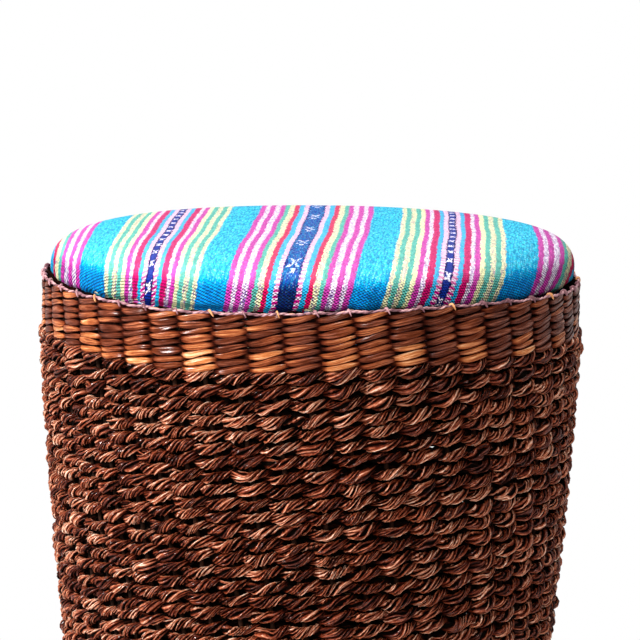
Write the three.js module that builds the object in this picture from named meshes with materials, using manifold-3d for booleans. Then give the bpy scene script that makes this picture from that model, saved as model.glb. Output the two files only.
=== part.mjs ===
// A round woven stool: a drum of twined leaf rope on a wooden frame, with a drop-in seat pad.
// Millimetres, +Z up, origin on the floor at the centre of the stool.
import * as THREE from "three";
import { mergeVertices } from "three/addons/utils/BufferGeometryUtils.js";
import ManifoldModule from "manifold-3d";

const wasm = await ManifoldModule();
wasm.setup();

// Overall sizes
const RIM_RADIUS = 210; // over the woven band
const RIM_HEIGHT = 400; // top of the rim cord
const ROPE_PROUD = 3; // how far the crest of the top rope course stands out past the band
const FOOT_RADIUS = 181; // crest of the lowest rope course
const BARREL_BULGE = 2.7; // how far the side stands out from a straight taper, half way up
const FLOOR_GAP = 6; // the glides hold the weave this far off the floor
const CLEARANCE = 0.3; // between pieces that meet
const SEGMENTS = 36; // facets of every round piece
const CUT_OVERRUN = 1; // how far a cutter reaches past what it cuts

// Weave
const BAND_HEIGHT = 44; // rim cord included
const BAND_THICKNESS = 5;
const BAND_COURSES = 8;
const REED_GROOVE = 1;
const ROPE_COURSES = 31;
const ROPE_THICKNESS = 8;
const ROPE_GROOVE = 4;
const BORDER_HEIGHT = 9; // plaited edge at the foot
const BORDER_SWELL = 1; // how far the border stands out past the lowest course
const RIM_CORD_RADIUS = 2;
const RIM_CORD_SIDES = 6;
const STAKE_COUNT = 48;
const STAKE_TURN = 4.95; // degrees from the X axis to the first stake, at the rim
const STAKE_TWIST = 15.4; // degrees that a stake leans round the stool from the rim to the foot
const STAKE_RADIUS = 2;
const STAKE_SIDES = 4;
const STAKE_STEPS = 2;
const STAKE_FOLD_HEIGHT = 5; // the stakes are turned under into a ring of this height

// Frame
const RING_WIDTH = 26; // base ring and seat ledge
const RING_THICKNESS = 12;
const WELL_DEPTH = 48; // from the rim down to the seat ledge
const POST_COUNT = 8;
const POST_RADIUS = 9;
const POST_SIDES = 10;
const WAIST_CANE_RADIUS = 5;
const WAIST_CANE_SIDES = 6;
const BRACE_WIDTH = 30;
const BRACE_THICKNESS = 12;
const BRACE_END_INSET = 8; // from a ring's outer edge to a brace's end
const BRACE_ENDS = 4; // two crossed braces, both ends

// Fasteners and glides
const SCREW_RADIUS = 2;
const SCREW_HEAD_RADIUS = 4.25;
const SCREW_HEAD_DEPTH = 2.4;
const SCREW_SIDES = 6;
const POST_SCREW_LENGTH = 36;
const BRACE_SCREW_LENGTH = 21;
const GLIDE_COUNT = 4;
const GLIDE_RADIUS = 12;
const GLIDE_CHAMFER = 1.5;
const GLIDE_NAIL_RADIUS = 1.5;
const GLIDE_NAIL_LENGTH = 10;
const GLIDE_SIDES = 10;

// Seat pad
const PAD_CROWN = 34; // from the widest line of the pad to its top
const PAD_SHOULDER_RISE = 3; // the widest line lies this far above the rim
const PAD_RIM_GAP = 3; // between the rim cord and the widest line
const PAD_WELL_GAP = 1.6; // between the stakes and the pad's side
const PAD_DRAW_IN = 2.5; // the side narrows this much towards the foot of the pad
const PAD_TUCK_DEPTH = 5; // the side starts to swell this far under the rim
const PAD_FOOT_ROUNDING = 6;
const COVER_THICKNESS = 1.6;
const COVER_HEM_WIDTH = 34; // cloth turned under the board
const BOARD_THICKNESS = 9;
const CROWN_POWER = 6; // the crown is 1 - share^CROWN_POWER, raised to CROWN_SHARPNESS
const CROWN_SHARPNESS = 0.33;
const CROWN_RADIUS_SHARES = [0.99, 0.955, 0.88, 0.72, 0.42];

// Finishes
const ROPE = { color: 0x6b3a22, roughness: 0.6, metalness: 0 };
const REED = { color: 0x94552e, roughness: 0.4, metalness: 0 };
const CORD = { color: 0x7a4a50, roughness: 0.5, metalness: 0 };
const CANE = { color: 0xb98a56, roughness: 0.6, metalness: 0 };
const TIMBER = { color: 0xc9a877, roughness: 0.7, metalness: 0 };
const PLYWOOD = { color: 0xd8bd8d, roughness: 0.75, metalness: 0 };
const STEEL = { color: 0xb8b6ae, roughness: 0.35, metalness: 1 };
const PLASTIC = { color: 0x26211e, roughness: 0.5, metalness: 0 };
const FOAM = { color: 0xe9dfb8, roughness: 0.95, metalness: 0 };
const CLOTH = { color: 0x1fa6d4, roughness: 0.9, metalness: 0 };

// Heights and radii that follow from the sizes above
const SHOULDER_RADIUS = RIM_RADIUS + ROPE_PROUD;
const BODY_BOTTOM = FLOOR_GAP + BORDER_HEIGHT + CLEARANCE;
const BODY_TOP = RIM_HEIGHT - BAND_HEIGHT;
const BAND_BOTTOM = BODY_TOP + CLEARANCE;
const BAND_TOP = RIM_HEIGHT - 2 * RIM_CORD_RADIUS - CLEARANCE;
const LEDGE_TOP = RIM_HEIGHT - WELL_DEPTH;
const LEDGE_BOTTOM = LEDGE_TOP - RING_THICKNESS;
const BASE_BOTTOM = FLOOR_GAP + CLEARANCE;
const BASE_TOP = BASE_BOTTOM + RING_THICKNESS;
const PAD_BOTTOM = LEDGE_TOP + CLEARANCE;
const FACET_SHARE = Math.cos(Math.PI / SEGMENTS); // a faceted ring's mid-facet radius over its corner radius
const STITCH_FACET_SHARE = Math.cos(Math.PI / STAKE_COUNT); // the same for the rope side, a facet per stake

// Radius of the rope crests at height z: a straight taper plus a parabolic bulge.
function crestRadius(z) {
  const share = (z - FLOOR_GAP) / (BODY_TOP - FLOOR_GAP);
  const taper = FOOT_RADIUS + (SHOULDER_RADIUS - FOOT_RADIUS) * share;
  return taper + 4 * BARREL_BULGE * share * (1 - share);
}

// Radius of the weave's inner face at height z, rope body and band alike.
function weaveInnerRadius(z) {
  return Math.min(crestRadius(z) - ROPE_THICKNESS, RIM_RADIUS - BAND_THICKNESS);
}

// Centre line of a stake that just clears the weave at height z.
function snugStakeRadius(z) {
  return weaveInnerRadius(z) * FACET_SHARE - CLEARANCE - STAKE_RADIUS;
}

// Centre line of the stakes: snug at evenly spaced heights and straight between them.
function stakeRadiusAt(z) {
  const step = (BAND_TOP - FLOOR_GAP) / STAKE_STEPS;
  const level = Math.min(Math.floor((z - FLOOR_GAP) / step), STAKE_STEPS - 1);
  const low = FLOOR_GAP + level * step;
  const high = low + step;
  return THREE.MathUtils.mapLinear(z, low, high, snugStakeRadius(low), snugStakeRadius(high));
}

// Angle of the first stake at height z. The stakes lean round the stool, and the stitches lean with them.
function leanAt(z) {
  const twistShare = (RIM_HEIGHT - z) / (RIM_HEIGHT - FLOOR_GAP);
  return THREE.MathUtils.degToRad(STAKE_TURN + STAKE_TWIST * twistShare);
}

// Radius free inside the stakes at height z.
function clearRadius(z) {
  return stakeRadiusAt(z) - STAKE_RADIUS - CLEARANCE;
}

const LEDGE_OUTER = clearRadius(LEDGE_BOTTOM);
const LEDGE_MIDDLE = LEDGE_OUTER - RING_WIDTH / 2;
const BASE_OUTER = clearRadius(BASE_BOTTOM);
const BASE_MIDDLE = BASE_OUTER - RING_WIDTH / 2;

const UPWARDS = new THREE.Vector3(0, 0, 1);

const group = new THREE.Group();

function addPart(name, geometry, finish) {
  const mesh = new THREE.Mesh(geometry, new THREE.MeshStandardMaterial(finish));
  mesh.name = name;
  group.add(mesh);
  return mesh;
}

function profilePoint(radius, height) {
  return new THREE.Vector2(radius, height);
}

// A profile of (radius, height) points turned about the Z axis.
function turned(profile, segments = SEGMENTS) {
  const geometry = new THREE.LatheGeometry(profile, segments);
  return geometry.rotateX(Math.PI / 2);
}

// The same for a ring, whose profile closes on itself.
function turnedRing(profile, segments = SEGMENTS) {
  return turned([...profile, profile[0].clone()], segments);
}

function flatRing(innerRadius, outerRadius, bottom, top) {
  return turnedRing([
    profilePoint(innerRadius, bottom),
    profilePoint(outerRadius, bottom),
    profilePoint(outerRadius, top),
    profilePoint(innerRadius, top),
  ]);
}

// A ring of round section.
function caneRing(ringRadius, height, caneRadius, sides) {
  const profile = [];
  for (let i = 0; i < sides; i += 1) {
    const angle = (2 * Math.PI * i) / sides - Math.PI / 2;
    const radius = ringRadius + caneRadius * Math.cos(angle);
    profile.push(profilePoint(radius, height + caneRadius * Math.sin(angle)));
  }
  return turnedRing(profile);
}

// An upright rod from one height to another, its centre line at radiusAt(z) and turned by angleAt(z).
function leaningRod(rodRadius, sides, steps, bottom, top, radiusAt, angleAt = () => 0) {
  const height = top - bottom;
  const geometry = new THREE.CylinderGeometry(rodRadius, rodRadius, height, sides, steps);
  geometry.rotateX(Math.PI / 2).translate(0, 0, bottom + height / 2);
  const position = geometry.attributes.position;
  const point = new THREE.Vector3();
  for (let i = 0; i < position.count; i += 1) {
    point.fromBufferAttribute(position, i);
    point.setX(point.x + radiusAt(point.z)).applyAxisAngle(UPWARDS, angleAt(point.z));
    position.setXYZ(i, point.x, point.y, point.z);
  }
  return geometry;
}

function upright(radius, sides, bottom, top) {
  const height = top - bottom;
  const geometry = new THREE.CylinderGeometry(radius, radius, height, sides);
  return geometry.rotateX(Math.PI / 2).translate(0, 0, bottom + height / 2);
}

function toSolid(geometry) {
  const bare = geometry.clone();
  bare.deleteAttribute("normal");
  bare.deleteAttribute("uv");
  const merged = mergeVertices(bare);
  const vertProperties = merged.attributes.position.array;
  const triVerts = new Uint32Array(merged.index.array);
  return new wasm.Manifold(new wasm.Mesh({ numProp: 3, vertProperties, triVerts }));
}

function toGeometry(solid) {
  const mesh = solid.getMesh();
  const geometry = new THREE.BufferGeometry();
  geometry.setAttribute("position", new THREE.BufferAttribute(mesh.vertProperties, 3));
  geometry.setIndex(new THREE.BufferAttribute(mesh.triVerts, 1));
  geometry.computeVertexNormals();
  return geometry;
}

function cut(geometry, cutters) {
  return toGeometry(cutters.reduce((solid, cutter) => solid.subtract(toSolid(cutter)), toSolid(geometry)));
}

// Evenly spaced angles round the stool, turned by a share of one step.
function anglesAround(count, turnShare = 0) {
  return Array.from({ length: count }, (_, i) => (2 * Math.PI * (i + turnShare)) / count);
}

function placedAt(geometry, radius, angle) {
  return geometry.translate(radius, 0, 0).rotateZ(angle);
}

// Courses of a woven side: a groove, then a crest, for each course from the bottom up.
function courseProfile(bottom, top, courses, crestAt, groove) {
  const pitch = (top - bottom) / courses;
  const points = [profilePoint(crestAt(bottom) - groove, bottom)];
  for (let i = 0; i < courses; i += 1) {
    const crest = bottom + (i + 0.5) * pitch;
    const end = bottom + (i + 1) * pitch;
    points.push(profilePoint(crestAt(crest), crest));
    points.push(profilePoint(crestAt(end) - groove, end));
  }
  return points;
}

// The rope side, a closed ring. Each stitch is a low pyramid over its stake, with a groove on all four sides.
function stitchedRing(bottom, top) {
  const points = [];
  const faces = [];
  const addRow = (radius, z, turnShare) => {
    const first = points.length;
    for (const angle of anglesAround(STAKE_COUNT, turnShare)) {
      points.push(new THREE.Vector3(radius, 0, z).applyAxisAngle(UPWARDS, angle + leanAt(z)));
    }
    return first;
  };
  const heightAt = (step, steps) => bottom + ((top - bottom) * step) / steps;
  const forEachStitch = (visit) => {
    for (let k = 0; k < STAKE_COUNT; k += 1) {
      visit(k, (k + 1) % STAKE_COUNT);
    }
  };

  const grooves = [];
  for (let i = 0; i <= ROPE_COURSES; i += 1) {
    const z = heightAt(i, ROPE_COURSES);
    grooves.push(addRow(crestRadius(z) - ROPE_GROOVE, z, 0.5));
  }
  for (let i = 0; i < ROPE_COURSES; i += 1) {
    const z = heightAt(i + 0.5, ROPE_COURSES);
    const crest = addRow(crestRadius(z), z, 1);
    forEachStitch((k, next) => {
      const corners = [grooves[i] + k, grooves[i] + next, grooves[i + 1] + next, grooves[i + 1] + k];
      corners.forEach((corner, side) => faces.push(corner, corners[(side + 1) % corners.length], crest + k));
    });
  }

  const innerSteps = 2 * STAKE_STEPS;
  const inside = [];
  for (let i = innerSteps; i >= 0; i -= 1) {
    const z = heightAt(i, innerSteps);
    inside.push(addRow(((crestRadius(z) - ROPE_THICKNESS) * FACET_SHARE) / STITCH_FACET_SHARE, z, 0.5));
  }
  const rows = [grooves[ROPE_COURSES], ...inside, grooves[0]];
  for (let i = 1; i < rows.length; i += 1) {
    const before = rows[i - 1];
    forEachStitch((k, next) => {
      faces.push(before + k, before + next, rows[i] + k, before + next, rows[i] + next, rows[i] + k);
    });
  }
  const geometry = new THREE.BufferGeometry().setFromPoints(points).setIndex(faces);
  geometry.computeVertexNormals();
  return geometry;
}

function addWeave() {
  addPart("woven_body", stitchedRing(BODY_BOTTOM, BODY_TOP), ROPE);

  const bandSide = courseProfile(BAND_BOTTOM, BAND_TOP, BAND_COURSES, () => RIM_RADIUS, REED_GROOVE);
  const bandInner = RIM_RADIUS - BAND_THICKNESS;
  const bandInside = [profilePoint(bandInner, BAND_TOP), profilePoint(bandInner, BAND_BOTTOM)];
  addPart("woven_band", turnedRing([...bandSide, ...bandInside]), REED);

  const cordRing = RIM_RADIUS - RIM_CORD_RADIUS;
  const cordHeight = RIM_HEIGHT - RIM_CORD_RADIUS;
  addPart("rim_cord", caneRing(cordRing, cordHeight, RIM_CORD_RADIUS, RIM_CORD_SIDES), CORD);

  const borderTop = FLOOR_GAP + BORDER_HEIGHT;
  const border = turnedRing([
    profilePoint(weaveInnerRadius(FLOOR_GAP), FLOOR_GAP),
    profilePoint(FOOT_RADIUS - BORDER_SWELL, FLOOR_GAP),
    profilePoint(FOOT_RADIUS + BORDER_SWELL, FLOOR_GAP + BORDER_HEIGHT / 2),
    profilePoint(FOOT_RADIUS - BORDER_SWELL, borderTop),
    profilePoint(weaveInnerRadius(borderTop), borderTop),
  ]);
  addPart("foot_border", border, ROPE);
}

function addStakes() {
  const foldBottom = FLOOR_GAP;
  const foldTop = foldBottom + STAKE_FOLD_HEIGHT;
  const foldCentre = stakeRadiusAt(foldBottom);
  const fold = flatRing(foldCentre - STAKE_RADIUS, foldCentre + STAKE_RADIUS, foldBottom, foldTop);
  let cage = toSolid(fold);
  for (const angle of anglesAround(STAKE_COUNT)) {
    const steps = 2 * STAKE_STEPS;
    const rod = leaningRod(STAKE_RADIUS, STAKE_SIDES, steps, foldBottom, BAND_TOP, stakeRadiusAt, leanAt);
    cage = cage.add(toSolid(rod.rotateZ(angle)));
  }
  addPart("stake_cage", toGeometry(cage), CANE);
}

// A countersunk screw standing on its point at the origin, its head face up.
function screwGeometry(length) {
  return turned(
    [
      profilePoint(0, 0),
      profilePoint(SCREW_RADIUS, 0),
      profilePoint(SCREW_RADIUS, length - SCREW_HEAD_DEPTH),
      profilePoint(SCREW_HEAD_RADIUS, length),
      profilePoint(0, length),
    ],
    SCREW_SIDES,
  );
}

// The room that a screw needs: its own shape, with the clearance all round.
function screwRoom(length) {
  const shank = SCREW_RADIUS + CLEARANCE;
  const head = SCREW_HEAD_RADIUS + CLEARANCE;
  return turned(
    [
      profilePoint(0, -CLEARANCE),
      profilePoint(shank, -CLEARANCE),
      profilePoint(shank, length - SCREW_HEAD_DEPTH - CLEARANCE),
      profilePoint(head, length - CLEARANCE),
      profilePoint(head, length + CUT_OVERRUN),
      profilePoint(0, length + CUT_OVERRUN),
    ],
    SCREW_SIDES,
  );
}

// A screw set down from above: its head face just under the given height.
function drivenDown(geometry, length, headHeight) {
  return geometry.translate(0, 0, headHeight - CLEARANCE - length);
}

// A screw set up from below.
function drivenUp(geometry, length, headHeight) {
  return geometry.rotateX(Math.PI).translate(0, 0, headHeight + CLEARANCE + length);
}

const postAngles = anglesAround(POST_COUNT, 0.5);
const braceAngles = anglesAround(BRACE_ENDS);
const glideAngles = anglesAround(GLIDE_COUNT, 0.5);

function downScrew(make, length, angle) {
  return placedAt(drivenDown(make(length), length, LEDGE_TOP), LEDGE_MIDDLE, angle);
}

function upScrew(make, length, angle) {
  return placedAt(drivenUp(make(length), length, BASE_BOTTOM), BASE_MIDDLE, angle);
}

// The waist hoop, or with a margin the room that it needs in the posts.
function waistHoop(margin) {
  const height = (BASE_TOP + LEDGE_BOTTOM) / 2;
  const ringRadius = clearRadius(height) - WAIST_CANE_RADIUS;
  return caneRing(ringRadius, height, WAIST_CANE_RADIUS + margin, WAIST_CANE_SIDES);
}

function addFrame() {
  const glideNail = upright(
    GLIDE_NAIL_RADIUS + CLEARANCE,
    SCREW_SIDES,
    BASE_BOTTOM - CUT_OVERRUN,
    FLOOR_GAP + GLIDE_NAIL_LENGTH + CLEARANCE,
  );
  const baseCutters = [
    ...postAngles.map((angle) => upScrew(screwRoom, POST_SCREW_LENGTH, angle)),
    ...braceAngles.map((angle) => upScrew(screwRoom, BRACE_SCREW_LENGTH, angle)),
    ...glideAngles.map((angle) => placedAt(glideNail.clone(), BASE_MIDDLE, angle)),
  ];
  const ledgeCutters = [
    ...postAngles.map((angle) => downScrew(screwRoom, POST_SCREW_LENGTH, angle)),
    ...braceAngles.map((angle) => downScrew(screwRoom, BRACE_SCREW_LENGTH, angle)),
  ];
  const baseRing = flatRing(BASE_OUTER - RING_WIDTH, BASE_OUTER, BASE_BOTTOM, BASE_TOP);
  const seatLedge = flatRing(LEDGE_OUTER - RING_WIDTH, LEDGE_OUTER, LEDGE_BOTTOM, LEDGE_TOP);
  addPart("base_ring", cut(baseRing, baseCutters), TIMBER);
  addPart("seat_ledge", cut(seatLedge, ledgeCutters), TIMBER);
  addPart("waist_hoop", waistHoop(0), CANE);

  const postBottom = BASE_TOP + CLEARANCE;
  const postTop = LEDGE_BOTTOM - CLEARANCE;
  const postRadiusAt = (z) =>
    THREE.MathUtils.mapLinear(z, postBottom, postTop, BASE_MIDDLE, LEDGE_MIDDLE);
  postAngles.forEach((angle, i) => {
    const rod = leaningRod(POST_RADIUS, POST_SIDES, 1, postBottom, postTop, postRadiusAt);
    const post = cut(rod.rotateZ(angle), [
      upScrew(screwRoom, POST_SCREW_LENGTH, angle),
      downScrew(screwRoom, POST_SCREW_LENGTH, angle),
      waistHoop(CLEARANCE),
    ]);
    addPart(`post_${i + 1}`, post, CANE);
  });
}

// Two slats that cross at half their thickness, the lower one along X and the upper one along Y.
function addBraces(prefix, bottom, outerRadius, cutters) {
  const length = 2 * (outerRadius - BRACE_END_INSET);
  const middle = bottom + BRACE_THICKNESS / 2;
  const notchWidth = BRACE_WIDTH + 2 * CLEARANCE;
  const notchHeight = BRACE_THICKNESS / 2 + CLEARANCE / 2 + CUT_OVERRUN;
  const notchOffset = (notchHeight - CLEARANCE) / 2;
  const notch = new THREE.BoxGeometry(notchWidth, notchWidth, notchHeight);
  const lower = new THREE.BoxGeometry(length, BRACE_WIDTH, BRACE_THICKNESS).translate(0, 0, middle);
  const upper = new THREE.BoxGeometry(BRACE_WIDTH, length, BRACE_THICKNESS).translate(0, 0, middle);
  const lowerNotch = notch.clone().translate(0, 0, middle + notchOffset);
  const upperNotch = notch.clone().translate(0, 0, middle - notchOffset);
  addPart(`${prefix}_brace_lower`, cut(lower, [lowerNotch, ...cutters]), TIMBER);
  addPart(`${prefix}_brace_upper`, cut(upper, [upperNotch, ...cutters]), TIMBER);
}

function addFasteners() {
  postAngles.forEach((angle, i) => {
    const ledgeScrew = downScrew(screwGeometry, POST_SCREW_LENGTH, angle);
    const baseScrew = upScrew(screwGeometry, POST_SCREW_LENGTH, angle);
    addPart(`ledge_screw_${i + 1}`, ledgeScrew, STEEL);
    addPart(`base_screw_${i + 1}`, baseScrew, STEEL);
  });
  braceAngles.forEach((angle, i) => {
    const seatScrew = downScrew(screwGeometry, BRACE_SCREW_LENGTH, angle);
    const baseScrew = upScrew(screwGeometry, BRACE_SCREW_LENGTH, angle);
    addPart(`seat_brace_screw_${i + 1}`, seatScrew, STEEL);
    addPart(`base_brace_screw_${i + 1}`, baseScrew, STEEL);
  });
}

// A plastic glide with its nail moulded in.
function addGlides() {
  const profile = [
    profilePoint(0, 0),
    profilePoint(GLIDE_RADIUS - GLIDE_CHAMFER, 0),
    profilePoint(GLIDE_RADIUS, GLIDE_CHAMFER),
    profilePoint(GLIDE_RADIUS, FLOOR_GAP),
    profilePoint(GLIDE_NAIL_RADIUS, FLOOR_GAP),
    profilePoint(GLIDE_NAIL_RADIUS, FLOOR_GAP + GLIDE_NAIL_LENGTH),
    profilePoint(0, FLOOR_GAP + GLIDE_NAIL_LENGTH),
  ];
  glideAngles.forEach((angle, i) => {
    addPart(`glide_${i + 1}`, placedAt(turned(profile, GLIDE_SIDES), BASE_MIDDLE, angle), PLASTIC);
  });
}

// The pad's side at a given depth inside its cover: foot, drawn-in side, widest line and crown.
// The points run from the crown down to the foot.
function padSide(depth, bottom) {
  const widestLine = RIM_HEIGHT + PAD_SHOULDER_RISE;
  const widest = RIM_RADIUS - 2 * RIM_CORD_RADIUS - PAD_RIM_GAP - depth;
  const side = clearRadius(LEDGE_TOP) - PAD_WELL_GAP - depth;
  const foot = side - PAD_DRAW_IN;
  const crown = PAD_CROWN - depth;
  const points = [profilePoint(0, widestLine + crown)];
  for (const share of [...CROWN_RADIUS_SHARES].reverse()) {
    const rise = crown * (1 - share ** CROWN_POWER) ** CROWN_SHARPNESS;
    points.push(profilePoint(widest * share, widestLine + rise));
  }
  points.push(profilePoint(widest, widestLine));
  points.push(profilePoint(side, RIM_HEIGHT - PAD_TUCK_DEPTH));
  points.push(profilePoint(foot, PAD_BOTTOM + PAD_FOOT_ROUNDING));
  points.push(profilePoint(side - PAD_FOOT_ROUNDING, bottom));
  return points;
}

function addSeatPad() {
  const hemTop = PAD_BOTTOM + COVER_THICKNESS;
  const boardBottom = hemTop + CLEARANCE;
  const boardTop = boardBottom + BOARD_THICKNESS;
  const outside = padSide(0, PAD_BOTTOM);
  const inside = padSide(COVER_THICKNESS, hemTop);
  const hemEdge = outside.at(-1).x - COVER_HEM_WIDTH;
  const cover = [
    ...outside,
    profilePoint(hemEdge, PAD_BOTTOM),
    profilePoint(hemEdge, hemTop),
    ...inside.reverse(),
  ];
  addPart("seat_cover", turned(cover.reverse()), CLOTH);

  const foamBottom = boardTop + CLEARANCE;
  const foamSide = padSide(COVER_THICKNESS + CLEARANCE, foamBottom).slice(0, -2);
  const foamFoot = profilePoint(foamSide.at(-1).x - PAD_DRAW_IN, foamBottom);
  addPart("seat_foam", turned([...foamSide, foamFoot, profilePoint(0, foamBottom)].reverse()), FOAM);

  const boardRadius = inside[0].x - CLEARANCE;
  addPart("seat_board", upright(boardRadius, SEGMENTS, boardBottom, boardTop), PLYWOOD);
}

const braceScrewRooms = (screwRoomAt) =>
  braceAngles.map((angle) => screwRoomAt(screwRoom, BRACE_SCREW_LENGTH, angle));

addWeave();
addStakes();
addFrame();
addBraces("seat", LEDGE_BOTTOM - CLEARANCE - BRACE_THICKNESS, LEDGE_OUTER, braceScrewRooms(downScrew));
addBraces("base", BASE_TOP + CLEARANCE, BASE_OUTER, braceScrewRooms(upScrew));
addFasteners();
addGlides();
addSeatPad();

export default group;
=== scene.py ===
"""The looks of a round woven drum stool: twined leaf rope, a glossy reed band and a striped seat cushion.

Sizes are in millimetres until a mesh is made, which turns them into metres. The front of the stool faces -Y.
"""

import logging
import math
from collections.abc import Mapping, Sequence
from dataclasses import dataclass, field
from enum import Enum

import bpy
import numpy as np
from mathutils import Matrix, Vector

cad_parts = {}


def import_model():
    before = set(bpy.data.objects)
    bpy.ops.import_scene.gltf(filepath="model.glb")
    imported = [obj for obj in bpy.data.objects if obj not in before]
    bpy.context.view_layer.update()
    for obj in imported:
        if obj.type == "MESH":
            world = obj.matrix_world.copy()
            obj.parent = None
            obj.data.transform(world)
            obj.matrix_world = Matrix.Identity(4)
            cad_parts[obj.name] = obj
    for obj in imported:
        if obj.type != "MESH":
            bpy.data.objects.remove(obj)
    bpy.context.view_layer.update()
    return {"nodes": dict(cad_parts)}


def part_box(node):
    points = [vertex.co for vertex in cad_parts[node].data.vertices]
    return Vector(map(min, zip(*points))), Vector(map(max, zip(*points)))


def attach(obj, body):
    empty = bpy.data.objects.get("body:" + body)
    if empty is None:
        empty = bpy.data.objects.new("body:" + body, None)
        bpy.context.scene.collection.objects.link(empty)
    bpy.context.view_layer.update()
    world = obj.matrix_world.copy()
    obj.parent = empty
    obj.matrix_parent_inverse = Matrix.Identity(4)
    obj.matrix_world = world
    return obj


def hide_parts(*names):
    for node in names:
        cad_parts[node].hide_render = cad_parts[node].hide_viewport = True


LOG = logging.getLogger("woven_stool")
METRES = 0.001
TURN = 2.0 * math.pi
ROW_MARGIN = 0.06
ROW_SHARE = 0.88
WIDE_STRIP = 0.93
NARROW_STRIP = 0.06
Array = np.ndarray
Colour = tuple[float, float, float]
Stops = Sequence[tuple[float, Colour]]
Span = tuple[float, float]


class Body(Enum):
    """The frame's two bodies."""

    STOOL = "stool"
    PAD = "seat_pad"


def linear(red: int, green: int, blue: int) -> Colour:
    """Turns a screen colour into the linear colour that a shader reads.

    Args:
        red: red from 0 to 255.
        green: green from 0 to 255.
        blue: blue from 0 to 255.

    Returns:
        The three linear values from 0 to 1.
    """
    share = np.array([red, green, blue]) / 255.0
    value = np.where(share <= 0.04045, share / 12.92, ((share + 0.055) / 1.055) ** 2.4)
    return tuple(float(v) for v in value)


def shades(*rows: tuple[float, int, int, int]) -> Stops:
    """A ramp's stops from rows of a position and a screen colour."""
    return tuple((position, linear(*colour)) for position, *colour in rows)


def closed_noise(rng: np.random.Generator, rows: int, knots: int, samples: int) -> Array:
    """Makes smooth noise that closes on itself: white values at the knots, joined by their Fourier series.

    Args:
        rng: the seeded source of the values.
        rows: how many separate lines of noise.
        knots: how many values go round, which sets how quickly the noise changes.
        samples: how many samples of each line are wanted, more than the knots.

    Returns:
        An array of rows by samples, of about unit spread.
    """
    spectrum = np.fft.rfft(rng.standard_normal((rows, knots)), axis=1)
    wide = np.zeros((rows, samples // 2 + 1), complex)
    wide[:, : spectrum.shape[1]] = spectrum
    return np.fft.irfft(wide, samples, axis=1) * samples / knots


@dataclass
class Wander:
    """Closed noise in the shape of a weave's arrays, whose last axis goes round the stool."""

    rng: np.random.Generator
    shape: tuple[int, ...]

    def __call__(self, knots: int, size: float) -> Array:
        """Noise of that size, with so many values round the stool."""
        values = closed_noise(self.rng, math.prod(self.shape[:-1]), knots, self.shape[-1])
        return size * values.reshape(self.shape)


def smooth_step(value: Array, low: float, high: float) -> Array:
    """Rises from 0 at low to 1 at high along 3t^2 - 2t^3."""
    share = np.clip((value - low) / (high - low), 0.0, 1.0)
    return share * share * (3.0 - 2.0 * share)


def around(count: int) -> Array:
    """The angles of evenly spaced points on a circle."""
    return np.arange(count) / count * TURN


def on_circle(radius: Array, turn: Array, height: Array) -> Array:
    """Points from their radius, turn and height."""
    parts = np.broadcast_arrays(radius * np.cos(turn), radius * np.sin(turn), height)
    return np.stack(parts, axis=-1)


def tube(radius: Array, turn: Array, height: Array, deep: Array, tall: Array, sides: int) -> Array:
    """Sets rings of points on a line that goes round the stool.

    Args:
        radius: the line's radius at each step.
        turn: its turn.
        height: its height.
        deep: how far a ring reaches outwards.
        tall: how far it reaches upwards.
        sides: how many points a ring has.

    Returns:
        The points; the last axes are a ring's points and their three coordinates.
    """
    angle = around(sides)
    parts = (np.asarray(part)[..., None] for part in (radius, turn, height, deep, tall))
    radius, turn, height, deep, tall = parts
    return on_circle(radius + deep * np.cos(angle), turn, height + tall * np.sin(angle))


class Wire:
    """One output socket of a material's tree, with the operators that shader maths uses."""

    def __init__(self, painter: "Painter", socket: bpy.types.NodeSocket) -> None:
        """Keeps the socket and the painter whose tree it is in."""
        self.painter = painter
        self.socket = socket

    def maths(self, operation: str, *others: object, reflected: bool = False) -> "Wire":
        """Adds one Math node.

        Args:
            operation: the Math node's operation.
            others: the other operands, numbers or wires.
            reflected: whether this wire is the second operand.

        Returns:
            The node's result.
        """
        operands = [*others, self] if reflected else [self, *others]
        return self.painter.node("ShaderNodeMath", {"operation": operation}, dict(enumerate(operands)))

    def __add__(self, other: object) -> "Wire":
        """Adds."""
        return self.maths("ADD", other)

    __radd__ = __add__

    def __sub__(self, other: object) -> "Wire":
        """Takes other away."""
        return self.maths("SUBTRACT", other)

    def __rsub__(self, other: object) -> "Wire":
        """Takes this wire away from other."""
        return self.maths("SUBTRACT", other, reflected=True)

    def __mul__(self, other: object) -> "Wire":
        """Multiplies."""
        return self.maths("MULTIPLY", other)

    __rmul__ = __mul__

    def __truediv__(self, other: object) -> "Wire":
        """Divides by other."""
        return self.maths("DIVIDE", other)

    def __pow__(self, other: object) -> "Wire":
        """Raises to a power."""
        return self.maths("POWER", other)

    def __mod__(self, other: object) -> "Wire":
        """The remainder, never negative for a positive divisor."""
        return self.maths("FLOORED_MODULO", other)

    def __abs__(self) -> "Wire":
        """The size without its sign."""
        return self.maths("ABSOLUTE")

    def __lt__(self, other: object) -> "Wire":
        """1 where this wire is under other, else 0."""
        return self.maths("LESS_THAN", other)

    def __gt__(self, other: object) -> "Wire":
        """1 where this wire is over other, else 0."""
        return self.maths("GREATER_THAN", other)

    def floor(self) -> "Wire":
        """The whole number below."""
        return self.maths("FLOOR")

    def sine(self) -> "Wire":
        """The sine of an angle in radians."""
        return self.maths("SINE")

    def ramp(self, stops: Stops, kind: str = "LINEAR") -> "Wire":
        """Colours this value by a ramp's stops and kind of interpolation."""
        return self.painter.node("ShaderNodeValToRGB", {"stops": stops, "kind": kind}, {0: self})


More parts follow.
